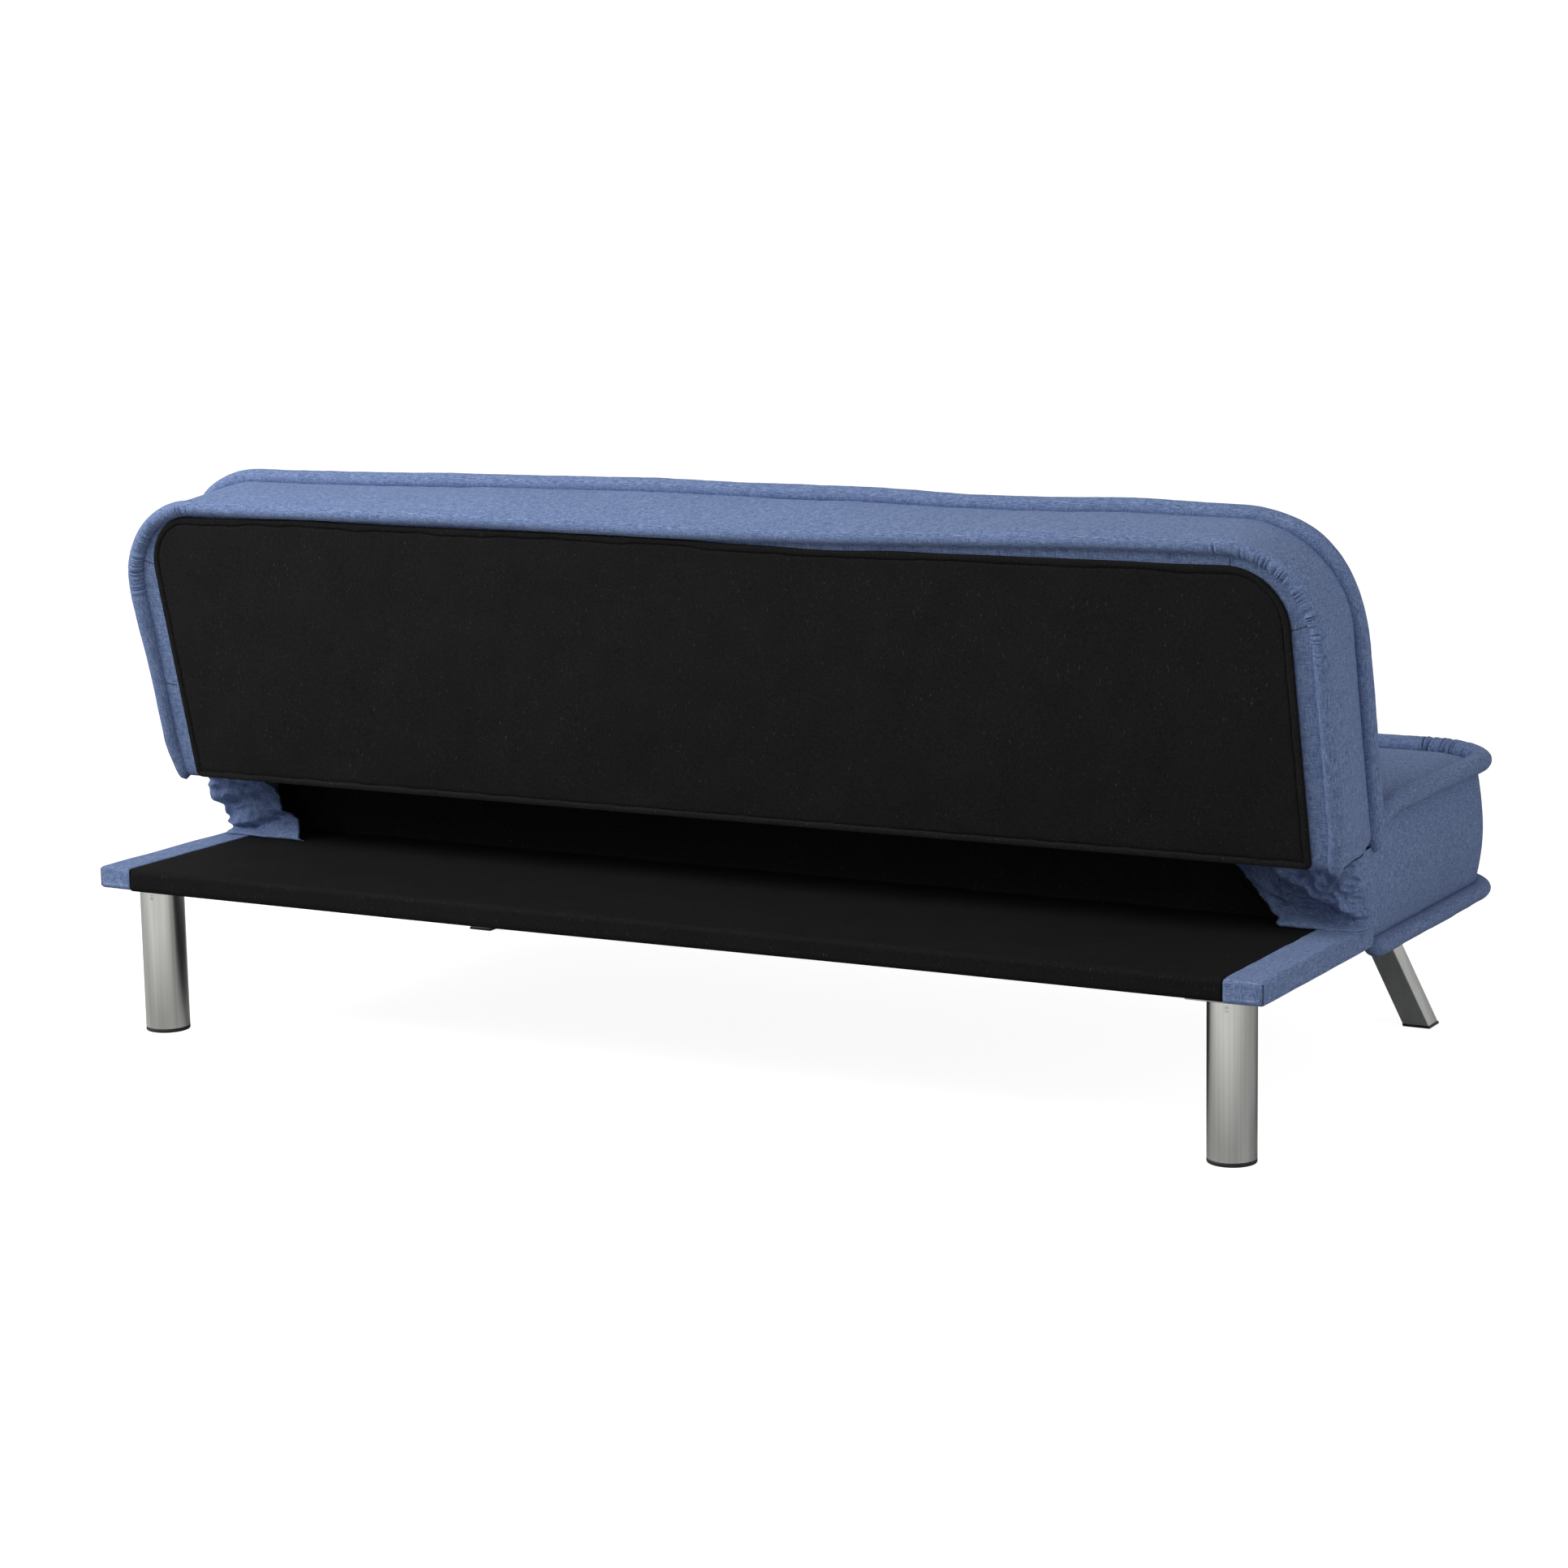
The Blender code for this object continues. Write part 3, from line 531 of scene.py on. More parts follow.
FABRIC = blue_linen("denim_linen")
WELT_FABRIC = blue_linen("denim_linen_rolls", 0.97)
FELT = black_felt("black_felt")
# Painted shade: the deck's felt is a darker copy of the black felt, for the shade that falls on the deck
# under the backrest.
DECK_FELT_PAINTED_SHADE = black_felt("deck_felt_painted_shade", 0.0085, 0.045, 0.74)
DUST_FELT = black_felt("underside_felt", 0.017)
# These chromes carry painted reflection bands in their colour: lighter and darker streaks along their
# length.
CHROME = drawn_metal("brushed_chrome_painted_reflections", (0.76, 0.77, 0.73), 0.11, 0.26)
LEG_CHROME = drawn_metal("polished_leg_chrome_painted_reflections", (0.66, 0.67, 0.65), 0.15, 0.14)
STEEL = drawn_metal("zinc_steel", (0.50, 0.51, 0.53), 0.38, 0.18, (90, 90, 90))
WOOD = sawn_wood("sawn_pine", (0.60, 0.42, 0.24), (0.42, 0.26, 0.13))
BOARD = sawn_wood("deck_board_wood", (0.52, 0.38, 0.23), (0.38, 0.25, 0.14))
FOAM = cell_foam("cream_foam")
PLASTIC = moulded_plastic("black_plastic", 0.018)
WEBBING = elastic_webbing("elastic_webbing")
# Painted shadow: the seam thread is far darker than the fabric and paints the shadow that lies along each
# seam.
SEAM_SHADOW_THREAD = dark_thread("seam_shadow_thread", (0.020, 0.028, 0.065))
SERGE_THREAD = dark_thread("serging_thread", (0.10, 0.14, 0.26))


# ---------------------------------------------------------------------------------------------
# Rolled edges

def roll(edge, run, halves, centers, fold, gather, pitch, seed):
    """A soft rolled edge, named such as back_rear. Halves and centers hold its section's size and
    place for each point of the run, outward and across; its gathers sit round the corners, on the
    side the fold faces, in degrees."""
    theta = np.linspace(0, 2 * pi, 30, endpoint=False)
    along = run.run[:, None]
    phase = along / pitch + 0.7 * wander(along, pitch * 6, seed) + 0.2 * np.sin(theta)[None, :]
    crease = (1 - np.abs(np.sin(pi * phase))) ** 1.5
    uneven = np.clip(0.6 + 0.6 * wander(along, pitch * 5, seed + 1), 0.1, 1.2)
    strength = run.turn[:, None] * gather * uneven
    facing = np.clip(0.15 + np.cos(theta - radians(fold)), 0, 1)[None, :]
    size = 1 + 0.035 * wander(along, 0.21, seed + 2) + 0.018 * np.sin(
        theta[None, :] + 3 * wander(along, 0.33, seed + 3)) * wander(along, 0.047, seed + 4)
    away = strength * facing * (0.25 - crease)
    out = centers[:, None, 0] + (halves[:, None, 0] * size + away) * np.cos(theta)
    over = centers[:, None, 1] + (halves[:, None, 1] * size + away) * np.sin(theta)
    flat = run.points[:, None, :] + out[..., None] * run.normals[:, None, :]
    if edge.startswith("back"):
        rings, place, body = np.stack([flat[..., 0], -over, flat[..., 1]], -1), BACK_PLACE, "backrest"
    else:
        rings, place, body = np.stack([flat[..., 0], REAR - flat[..., 1], over], -1), None, "base"
    made = tubes(f"{edge}_roll", [rings], WELT_FABRIC, place)
    finished(made, body, "blue_fabric", 0.75, f"{edge}_welt")


def closed_ends(run, amount, length):
    """How full a roll is along its run: 1, and drawn in over the length at both ends."""
    near = np.minimum(run.run, run.length - run.run) / length
    return amount + (1 - amount) * np.clip(1 - (1 - np.clip(near, 0, 1)) ** 2, 0, 1) ** 0.5


def rear_rise(x):
    """How far the rear roll's top line lies above the frame: it sags over the middle."""
    return -0.0004 + 0.0102 * smooth(-x, 0.10, 0.72) + 0.0040 * smooth(x, -0.05, 0.42)


def front_rise(x):
    """The same for the front roll, which is fullest left of the middle."""
    full = 0.0035 + 0.0045 * (smooth(x, -0.38, -0.22) - smooth(x, 0.32, 0.70))
    return (full + 0.0024 * hump(x, 0.11, 0.11) + 0.0024 * hump(x, -0.61, 0.055)
            - 0.0020 * hump(x, -0.78, 0.07) - 0.0012 * hump(x, -0.45, 0.1))


def back_rolls():
    """The slim corded edge round the rear of the backrest, and the fuller one round its front."""
    rear = arch(BACK_HALF, BACK_HIGH, REAR_CORNER, -0.006, 0.005, 0.0016)
    x, high = rear.points[:, 0], rear.points[:, 1]
    top = smooth(rear.normals[:, 1], 0.0, 1.0)
    tuck = 1 - smooth(high, -0.006, 0.060)
    fat = 0.0028 * hump(high, 0.28, 0.07) * (x > 0)
    full = closed_ends(rear, 0.12, 0.022)
    halves = np.stack([(0.0108 + fat) * full, (0.0118 + fat) * full], -1)
    centers = np.stack([0.0048 * (1 - top) + rear_rise(x) * top - 0.008 * tuck + fat,
                        0.0025 + 0.004 * tuck], -1)
    roll("back_rear", rear, halves, centers, fold=-125, gather=0.0052, pitch=0.0062, seed=11)

    front = arch(BACK_HALF, BACK_HIGH - 0.002, FRONT_CORNER, -BACK_UNDERCUT - 0.004, 0.005, 0.003)
    x, high = front.points[:, 0], front.points[:, 1]
    top = np.clip(front.normals[:, 1], 0, 1)
    full = closed_ends(front, 0.10, 0.030)
    low = 1 - smooth(high, -0.03, 0.06)
    corner = 0.0030 * hump(high, 0.390, 0.028) - 0.0024 * hump(high, 0.305, 0.03)
    halves = np.stack([0.0122 * full, 0.0128 * full], -1)
    centers = np.stack([0.0020 + front_rise(x) * top - 0.004 * low + corner, 0.1385 + 0.002 * low], -1)
    roll("back_front", front, halves, centers, fold=150, gather=0.0012, pitch=0.012, seed=23)


def seat_rolls():
    """The corded edges along the top and the bottom of the seat, gathered round its front corners."""
    top = arch(SEAT_HALF, SEAT_FRONT, SEAT_CORNER, SEAT_REAR + 0.004, 0.005, 0.0016)
    rear = 1 - smooth(top.points[:, 1], SEAT_REAR, SEAT_REAR + 0.075)
    full = closed_ends(top, 0.15, 0.018)
    halves = np.stack([(0.0154 - 0.003 * rear) * full, (0.0136 - 0.003 * rear) * full], -1)
    lift = 0.0014 * wander(top.run, 1.3, 5)
    centers = np.stack([0.0054 - 0.003 * rear, SEAT_TOP - 0.0040 - 0.019 * rear + lift], -1)
    roll("seat_top", top, halves, centers, fold=150, gather=0.0075, pitch=0.0085, seed=31)

    bottom = arch(SEAT_HALF, SEAT_FRONT, SEAT_CORNER, SEAT_REAR + 0.001, 0.005, 0.002)
    rear = 1 - smooth(bottom.points[:, 1], SEAT_REAR, SEAT_REAR + 0.06)
    full = closed_ends(bottom, 0.15, 0.02)
    halves = np.stack([0.0160 * full, (0.0122 + 0.001 * rear) * full], -1)
    lift = 0.001 * wander(bottom.run, 0.9, 7)
    centers = np.stack([0.0055 - 0.002 * rear, SEAT_BOTTOM - 0.0010 + lift], -1)
    roll("seat_bottom", bottom, halves, centers, fold=150, gather=0.0024, pitch=0.012, seed=41)


def finished(piece, body, slot, fill=None, *nodes):
    """Says what a piece rides on, and what it stands for, whose CAD nodes it hides. Its slot and fill are
    not used.
    """
    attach(piece, body)
    if nodes:
        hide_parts(*nodes)
    return piece


# ---------------------------------------------------------------------------------------------
# Padded covers

def slab_between(name, low_ring, high_ring):
    """A closed draft solid between two rings of the same number of points."""
    count = len(low_ring)
    points = [*low_ring, *high_ring]
    faces = grid_faces(2, count, closed_columns=True)
    faces += [tuple(range(count)), tuple(range(count, 2 * count))]
    return add_mesh(name, points, faces, FABRIC)


def inflate(obj, hold, cap, excess, frames=20, pressure=4.0):
    """Cloth simulation of a closed cover over its filling, held at its seams. No point moves
    further than the cap. Excess is the share by which the cloth is larger than its draft."""
    group = obj.vertex_groups.new(name="hold")
    for level in np.unique(np.round(hold, 1)):
        if level > 0:
            chosen = np.nonzero(np.round(hold, 1) == level)[0].tolist()
            group.add(chosen, float(level), "REPLACE")
    cloth = obj.modifiers.new("Cloth", "CLOTH")
    for key, value in dict(quality=4, mass=0.35, tension_stiffness=25, compression_stiffness=12,
                           shear_stiffness=8, bending_stiffness=0.8, use_pressure=True,
                           uniform_pressure_force=pressure, shrink_min=-excess,
                           vertex_group_mass="hold").items():
        setattr(cloth.settings, key, value)
    cloth.settings.effector_weights.gravity = 0
    cloth.collision_settings.use_self_collision = False
    before = coords(obj.data)
    for step in range(1, frames + 1):
        bpy.context.scene.frame_set(step)
    graph = bpy.context.evaluated_depsgraph_get()
    mesh = bpy.data.meshes.new_from_object(obj.evaluated_get(graph))
    after = coords(mesh)
    obj.modifiers.clear()
    obj.vertex_groups.clear()
    bpy.data.meshes.remove(mesh)
    bpy.context.scene.frame_set(1)
    move = after - before
    far = np.linalg.norm(move, axis=1, keepdims=True)
    return before, before + move * cap * np.tanh(far / cap) / np.maximum(far, 1e-9)


def back_cover():
    """The backrest's cover: flat behind, where it is stapled, and puffed out in front, with a
    nearly flat boxing, drawn in along the seams of the rolled edges, and a notch at each hinge."""
    rear_t, front_t = 0.0016, BACK_THICK - 0.009
    step = 0.006
    rear = arch(BACK_HALF + 0.0085, BACK_HIGH + 0.0085, REAR_CORNER + 0.008, 0.0, step)
    front = arch(BACK_HALF - 0.0012, BACK_HIGH - 0.0018, FRONT_CORNER,
                 -BACK_UNDERCUT * front_t / BACK_THICK, step)
    for line, rise in ((rear, rear_rise), (front, front_rise)):
        line.points[:, 1] += rise(line.points[:, 0]) * line.normals[:, 1]
    shares = rear.run / rear.length, front.run / front.length
    front_points = np.stack([np.interp(*shares, front.points[:, k]) for k in (0, 1)], -1)
    low_ring = [(x, -rear_t, s) for x, s in rear.points]
    high_ring = [(x, -front_t, s) for x, s in front_points]
    obj = remeshed(slab_between("back_cover_shell", low_ring, high_ring), COVER_VOXEL)
    base = coords(obj.data)
    x, t, s = base[:, 0], -base[:, 1], base[:, 2]
    share = np.clip((t - rear_t) / (front_t - rear_t), 0, 1)
    half = BACK_HALF + 0.0085 - 0.0097 * share
    high = BACK_HIGH + 0.0085 - 0.0103 * share + rear_rise(x) * (1 - share) + front_rise(x) * share
    corner = REAR_CORNER + 0.008 + (FRONT_CORNER - REAR_CORNER - 0.008) * share
    depth = plate_depth(np.stack([x, s], -1), half, high, corner)
    floor_s = -BACK_UNDERCUT * t / BACK_THICK
    hold = np.maximum.reduce([
        1 - smooth(t, 0.012, 0.026),
        hump(np.hypot(front_t - t, np.maximum(depth, 0)), 0, 0.010),
        1 - smooth(s - floor_s, 0.004, 0.020),
    ])
    before, after = inflate(obj, hold, 0.020, 0.004)
    boxing = 1 - smooth(depth, 0.0, 0.02)
    after = before + (after - before) * (1 - 0.55 * boxing)[:, None]
    ripples = 0.0012 * drift(after[:, [0, 2]], 0.16, 3) * smooth(depth, 0.01, 0.06)
    after[:, 1] -= ripples * smooth(t, front_t - 0.02, front_t)
    notch = smooth(np.abs(x), 0.838, 0.852) * (1 - smooth(np.abs(x), 0.886, 0.898))
    notch_roof = 0.030
    after[:, 2] += 0.9 * notch * smooth(t, 0.082, 0.098) * np.clip(notch_roof - after[:, 2], 0, None)
    stapled = (t < 0.007) & (depth > 0.003)
    after[stapled, 1] = -rear_t
    set_coords(obj.data, after)
    obj.matrix_world = BACK_PLACE
    obj.data.shade_smooth()
    subdivided(obj)
    return finished(obj, "backrest", "blue_fabric", 0.8, "back_cover")


def seat_cover():
    """The seat's cover: a crowned top and softly bulging sides, drawn in along its two seams."""
    shrink = 0.002
    low, high = SEAT_BOTTOM + 0.001, SEAT_TOP - 0.005
    outline = arch(SEAT_HALF - shrink, SEAT_FRONT - shrink, SEAT_CORNER - shrink, SEAT_REAR, 0.006)
    low_ring = [(x, REAR - d, low) for x, d in outline.points]
    high_ring = [(x, REAR - d, high) for x, d in outline.points]
    obj = remeshed(slab_between("seat_cover_shell", low_ring, high_ring), COVER_VOXEL)
    base = coords(obj.data)
    x, d, z = base[:, 0], REAR - base[:, 1], base[:, 2]
    depth = plate_depth(np.stack([x, d], -1), SEAT_HALF - shrink, SEAT_FRONT - shrink,
                        SEAT_CORNER - shrink)
    hold = np.maximum.reduce([
        1 - smooth(z, low + 0.008, low + 0.02),
        hump(np.hypot(high - z, np.maximum(depth, 0)), 0, 0.010),
        1 - smooth(d, SEAT_REAR + 0.004, SEAT_REAR + 0.02),
    ])
    inner = smooth(depth, 0.0, 0.11) * smooth(d, SEAT_REAR, SEAT_REAR + 0.05)
    _, after = inflate(obj, hold, 0.017, 0.0)
    after[:, 2] += 0.0012 * drift(after[:, :2], 0.17, 8) * inner * smooth(z, high - 0.02, high)
    bulge = np.sin(pi * np.clip((z - low) / (high - low), 0, 1)) ** 0.8 * (1 - smooth(depth, 0.0, 0.05))
    bulge *= smooth(d, SEAT_REAR - 0.030, SEAT_REAR + 0.010) * (0.0118 + 0.0012 * drift(base, 0.16, 9))
    away = np.stack([x, REAR - SEAT_FRONT + SEAT_CORNER - base[:, 1]], -1)
    away[:, 0] = np.sign(x) * np.clip(np.abs(x) - SEAT_HALF + SEAT_CORNER, 0, None)
    away[:, 1] = -np.clip(away[:, 1], 0, None)
    away /= np.maximum(np.linalg.norm(away, axis=1, keepdims=True), 1e-6)
    after[:, :2] += away * bulge[:, None]
    set_coords(obj.data, after)
    obj.data.shade_smooth()
    subdivided(obj)
    return finished(obj, "base", "blue_fabric", 0.8, "seat_cover")


def foam_block(name, low_ring, high_ring, place, body, node, seed):
    """A cut block of foam with softened edges and a faintly uneven skin."""
    obj = remeshed(slab_between(name, low_ring, high_ring), FOAM_VOXEL)
    points = coords(obj.data)
    points += coords(obj.data, "normal") * (0.0006 * drift(points, 0.07, seed))[:, None]
    set_coords(obj.data, points)
    if place is not None:
        obj.matrix_world = place
    obj.data.materials.clear()
    obj.data.materials.append(FOAM)
    obj.data.shade_smooth()
    subdivided(obj)
    return finished(obj, body, "foam", 0.9, node)


def foam_pads():
    low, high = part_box("seat_foam")
    inset = SEAT_HALF - high.x + 0.010
    outline = arch(SEAT_HALF - inset, SEAT_FRONT - inset, SEAT_CORNER - inset, SEAT_REAR + 0.006, 0.012)
    rings = [[(x, REAR - d, z) for x, d in outline.points] for z in (low.z + 0.002, high.z - 0.010)]
    foam_block("seat_foam_pad", *rings, None, "base", "seat_foam", 51)

    rear_t, front_t = 0.0345, BACK_THICK - 0.018
    inset = 0.016
    outline = arch(BACK_HALF - inset, BACK_HIGH - inset, FRONT_CORNER - inset + 0.008, 0.012, 0.012)
    points = outline.points.copy()
    hinge = np.abs(points[:, 0]) > 0.843
    points[:, 0] = np.where(hinge & (points[:, 1] < 0.13), np.sign(points[:, 0]) * 0.843, points[:, 0])
    rings = [[(x, -t, s) for x, s in points] for t in (rear_t, front_t)]
    foam_block("back_foam_pad", *rings, BACK_PLACE, "backrest", "back_foam", 52)


# ---------------------------------------------------------------------------------------------
# Rear panel, deck, gussets and curtain

def back_panel():
    """Black felt stretched over the back of the frame, with a turned hem stitched along its edge."""
    low, high = 0.003, 0.4075
    half, top_radius, low_radius = 0.880, 0.080, 0.010
    insets = (0, 0.0008, 0.0018, 0.0035, 0.0055, 0.0075, 0.0088, 0.0096, 0.0104, 0.0114, 0.0135, 0.017)
    flat, faces = filled_plate(half, high, low, top_radius, low_radius, insets, 0.0075)
    depth = plate_depth(flat, half, high, top_radius, low, low_radius)
    x, s = flat[:, 0], flat[:, 1]
    upper = smooth(s, high - 0.12, high)
    line = 0.0100 + upper * 0.0018 * wander(x, 0.23, 61) + 0.0007 * wander(x + s, 0.07, 62)
    hem = np.clip(depth / line, 0, 1)
    band = 0.0017 * np.sin(pi * hem ** 0.75) ** 0.5 * (depth < line)
    groove = 0.0016 * hump(depth, line, 0.0010)
    edge = smooth(depth, 0, 0.0016)
    sag = np.clip(0.0008 * drift(flat, 0.22, 63) + 0.0003 * drift(flat, 0.06, 64), -0.0014, 0.0008)
    pull = 0.0005 * np.sin(2 * pi * (x + 0.3 * s) / 0.046) * hump(depth, 0.016, 0.012)
    out = 0.0004 + edge * (0.0016 + band - groove + (sag + pull) * smooth(depth, 0.010, 0.05))
    bow = upper * (0.0055 * smooth(x, -0.15, 0.08) + 0.0035 * hump(x, 0.59, 0.06)
                   - 0.0025 * hump(x, -0.25, 0.07) + 0.0006 * wander(x, 0.30, 65))
    points = np.stack([x, out, s + bow], -1)
    obj = thickened(add_mesh("back_felt_panel", points, faces, FELT, BACK_PLACE, 50), 0.0012)
    finished(obj, "backrest", "black_felt", None, "back_panel")


def strip_seams():
    """Short seams across the narrow strip between the rear panel and the rolled edge, in a dark thread
    that paints the seams' shadow.
    """
    strokes = (((-0.8078, 0.4168), (-0.8050, 0.4040)), ((-0.8788, 0.3245), (-0.9050, 0.3333)),
               ((0.8227, 0.4143), (0.8157, 0.4072)), ((0.9024, 0.3429), (0.8829, 0.3374)),
               ((0.8860, 0.1480), (0.9060, 0.1500)))
    runs = [[(x, -0.0014, s) for x, s in stroke] for stroke in strokes]
    obj = threads("back_strip_seams", runs, 0.00055, SEAM_SHADOW_THREAD, BACK_PLACE)
    finished(obj, "backrest", "blue_fabric")


def threads(name, runs, radius, finish, place=None):
    """Short round threads along open runs of points, closed at their ends."""
    angles = np.linspace(0, 2 * pi, 6, endpoint=False)[:, None]
    made = []
    for run in runs:
        path = np.array(run, float)
        ways = np.gradient(path, axis=0)
        ways /= np.linalg.norm(ways, axis=1, keepdims=True)
        side = np.cross(ways, (0.31, 0.52, 0.79))
        side /= np.linalg.norm(side, axis=1, keepdims=True)
        other = np.cross(ways, side)
        round_it = side[:, None] * np.cos(angles) + other[:, None] * np.sin(angles)
        made.append(path[:, None] + radius * round_it)
    return tubes(name, made, finish, place, 80)


def deck_profile(low, high, front, radius, steps=8):
    """The deck's section from the front of its underside, round the rear edge, to the front on top."""
    points = [(front - (front - radius) * i / 40, low) for i in range(40)]
    points += [(radius + radius * cos(a), low + radius + radius * sin(a))
               for a in np.linspace(-pi / 2, -pi, steps)]
    points += [(0, low + radius + (high - low - 2 * radius) * i / 6) for i in range(1, 6)]
    points += [(radius + radius * cos(a), high - radius + radius * sin(a))
               for a in np.linspace(pi, pi / 2, steps)]
    points += [(radius + (front - radius) * i / 50, high) for i in range(1, 51)]
    return np.array(points)


def deck():
    """The deck's black sleeve, and the blue fabric wrapped over each end of it."""
    profile = deck_profile(DECK_BOTTOM, DECK_TOP, DECK_FRONT, 0.0075)
    spots = np.linspace(-FELT_HALF, FELT_HALF, 260)
    xx, dd = np.meshgrid(spots, profile[:, 0], indexing="ij")
    _, zz = np.meshgrid(spots, profile[:, 1], indexing="ij")
    rear = hump(dd, 0.0, 0.020)
    field = np.stack([xx.ravel(), dd.ravel() * 1.4], -1)
    uneven = (0.00035 * drift(field, 0.20, 71)).reshape(xx.shape)
    ends = 1 - smooth(FELT_HALF - np.abs(xx), 0.0, 0.35)
    pucker = 0.00055 * np.sin(2 * pi * xx / 0.031 + 2 * wander(xx, 0.2, 72)) * rear * ends
    top = smooth(zz, DECK_TOP - 0.010, DECK_TOP)
    slack = 0.0030 * smooth(xx, -0.5, 0.4) * (1 - smooth(zz, DECK_BOTTOM, DECK_BOTTOM + 0.012))
    z = zz + (uneven + pucker) * top - 0.0004 * top - slack
    d = dd + rear * (0.0006 + pucker * 0.8) * smooth(zz, DECK_BOTTOM, DECK_TOP - 0.004)
    points = np.stack([xx, REAR - d, z], -1).reshape(-1, 3)
    obj = add_mesh("deck_sleeve", points, grid_faces(*xx.shape), DECK_FELT_PAINTED_SHADE, None, 60)
    thickened(obj, 0.0012)
    finished(obj, "base", "black_felt", None, "deck_cover")
    for side, sign in SIDES:
        deck_end_wrap(side, sign)


def deck_end_wrap(side, sign):
    """A blue sleeve over the deck's end: its top, rear, underside and end, sewn at the corner."""
    proud = 0.0006
    low, high = DECK_BOTTOM - proud, DECK_TOP + proud
    inner, outer = FELT_HALF, DECK_HALF + proud
    radius = 0.0065
    work = bmesh.new()
    bmesh.ops.create_cube(work, size=1.0)
    for vert in work.verts:
        vert.co = (inner if vert.co.x < 0 else outer, -proud if vert.co.y < 0 else DECK_FRONT + 0.001,
                   low if vert.co.z < 0 else high)
    gone = [f for f in work.faces if abs(f.normal.x) > 0.5 and f.calc_center_median().x < inner + 0.01]
    bmesh.ops.delete(work, geom=gone, context="FACES")
    for axis, shortest, cuts in ((1, 0.1, 60), (0, 0.03, 9), (2, 0.02, 5)):
        long_edges = [e for e in work.edges if abs(e.verts[0].co[axis] - e.verts[1].co[axis]) > shortest]
        bmesh.ops.subdivide_edges(work, edges=long_edges, cuts=cuts, use_grid_fill=True)
    bmesh.ops.recalc_face_normals(work, faces=work.faces)
    obj = add_object(f"deck_end_sleeve_{side}", work, FABRIC, None, 60)
    applied(modified(obj, "BEVEL", width=radius, segments=5, limit_method="ANGLE",
                     angle_limit=radians(60)))
    points = coords(obj.data)
    x, d, z = points[:, 0], points[:, 1], points[:, 2]
    rear = hump(d, -proud, 0.012)
    crimp = 0.0007 * np.sin(2 * pi * x / 0.0135 + side.count("l")) * rear * smooth(outer - x, 0.004, 0.02)
    uneven = 0.0004 * drift(points, 0.09, 80 + int(sign))
    z = z + (crimp + uneven) * np.where(z > (low + high) / 2, 1, -0.5)
    corner = np.hypot(d + proud, outer - x)
    d = d + crimp * 0.8 + 0.0008 * hump(corner, 0.0, 0.004)
    set_coords(obj.data, np.stack([sign * x, REAR - d, z], -1))
    if sign > 0:
        obj.data.flip_normals()
    thickened(obj, 0.0014)
    finished(obj, "base", "blue_fabric", None, f"deck_end_wrap_{side}")
    seam = [(sign * (outer - radius * 0.25), REAR + proud - radius * 0.25, z)
            for z in np.linspace(low + 0.003, high - 0.003, 12)]
    # Its dark thread paints the shadow along the corner seam.
    stitched = threads(f"deck_end_seam_{side}", [seam], 0.0006, SEAM_SHADOW_THREAD)
    finished(stitched, "base", "blue_fabric")


def fold_line(x, z, start, end):
    """Signed distance from the line of a fold, above 0 on its lower, inner side."""
    way = np.array(end) - np.array(start)
    way /= np.linalg.norm(way)
    return way[1] * (x - start[0]) - way[0] * (z - start[1])


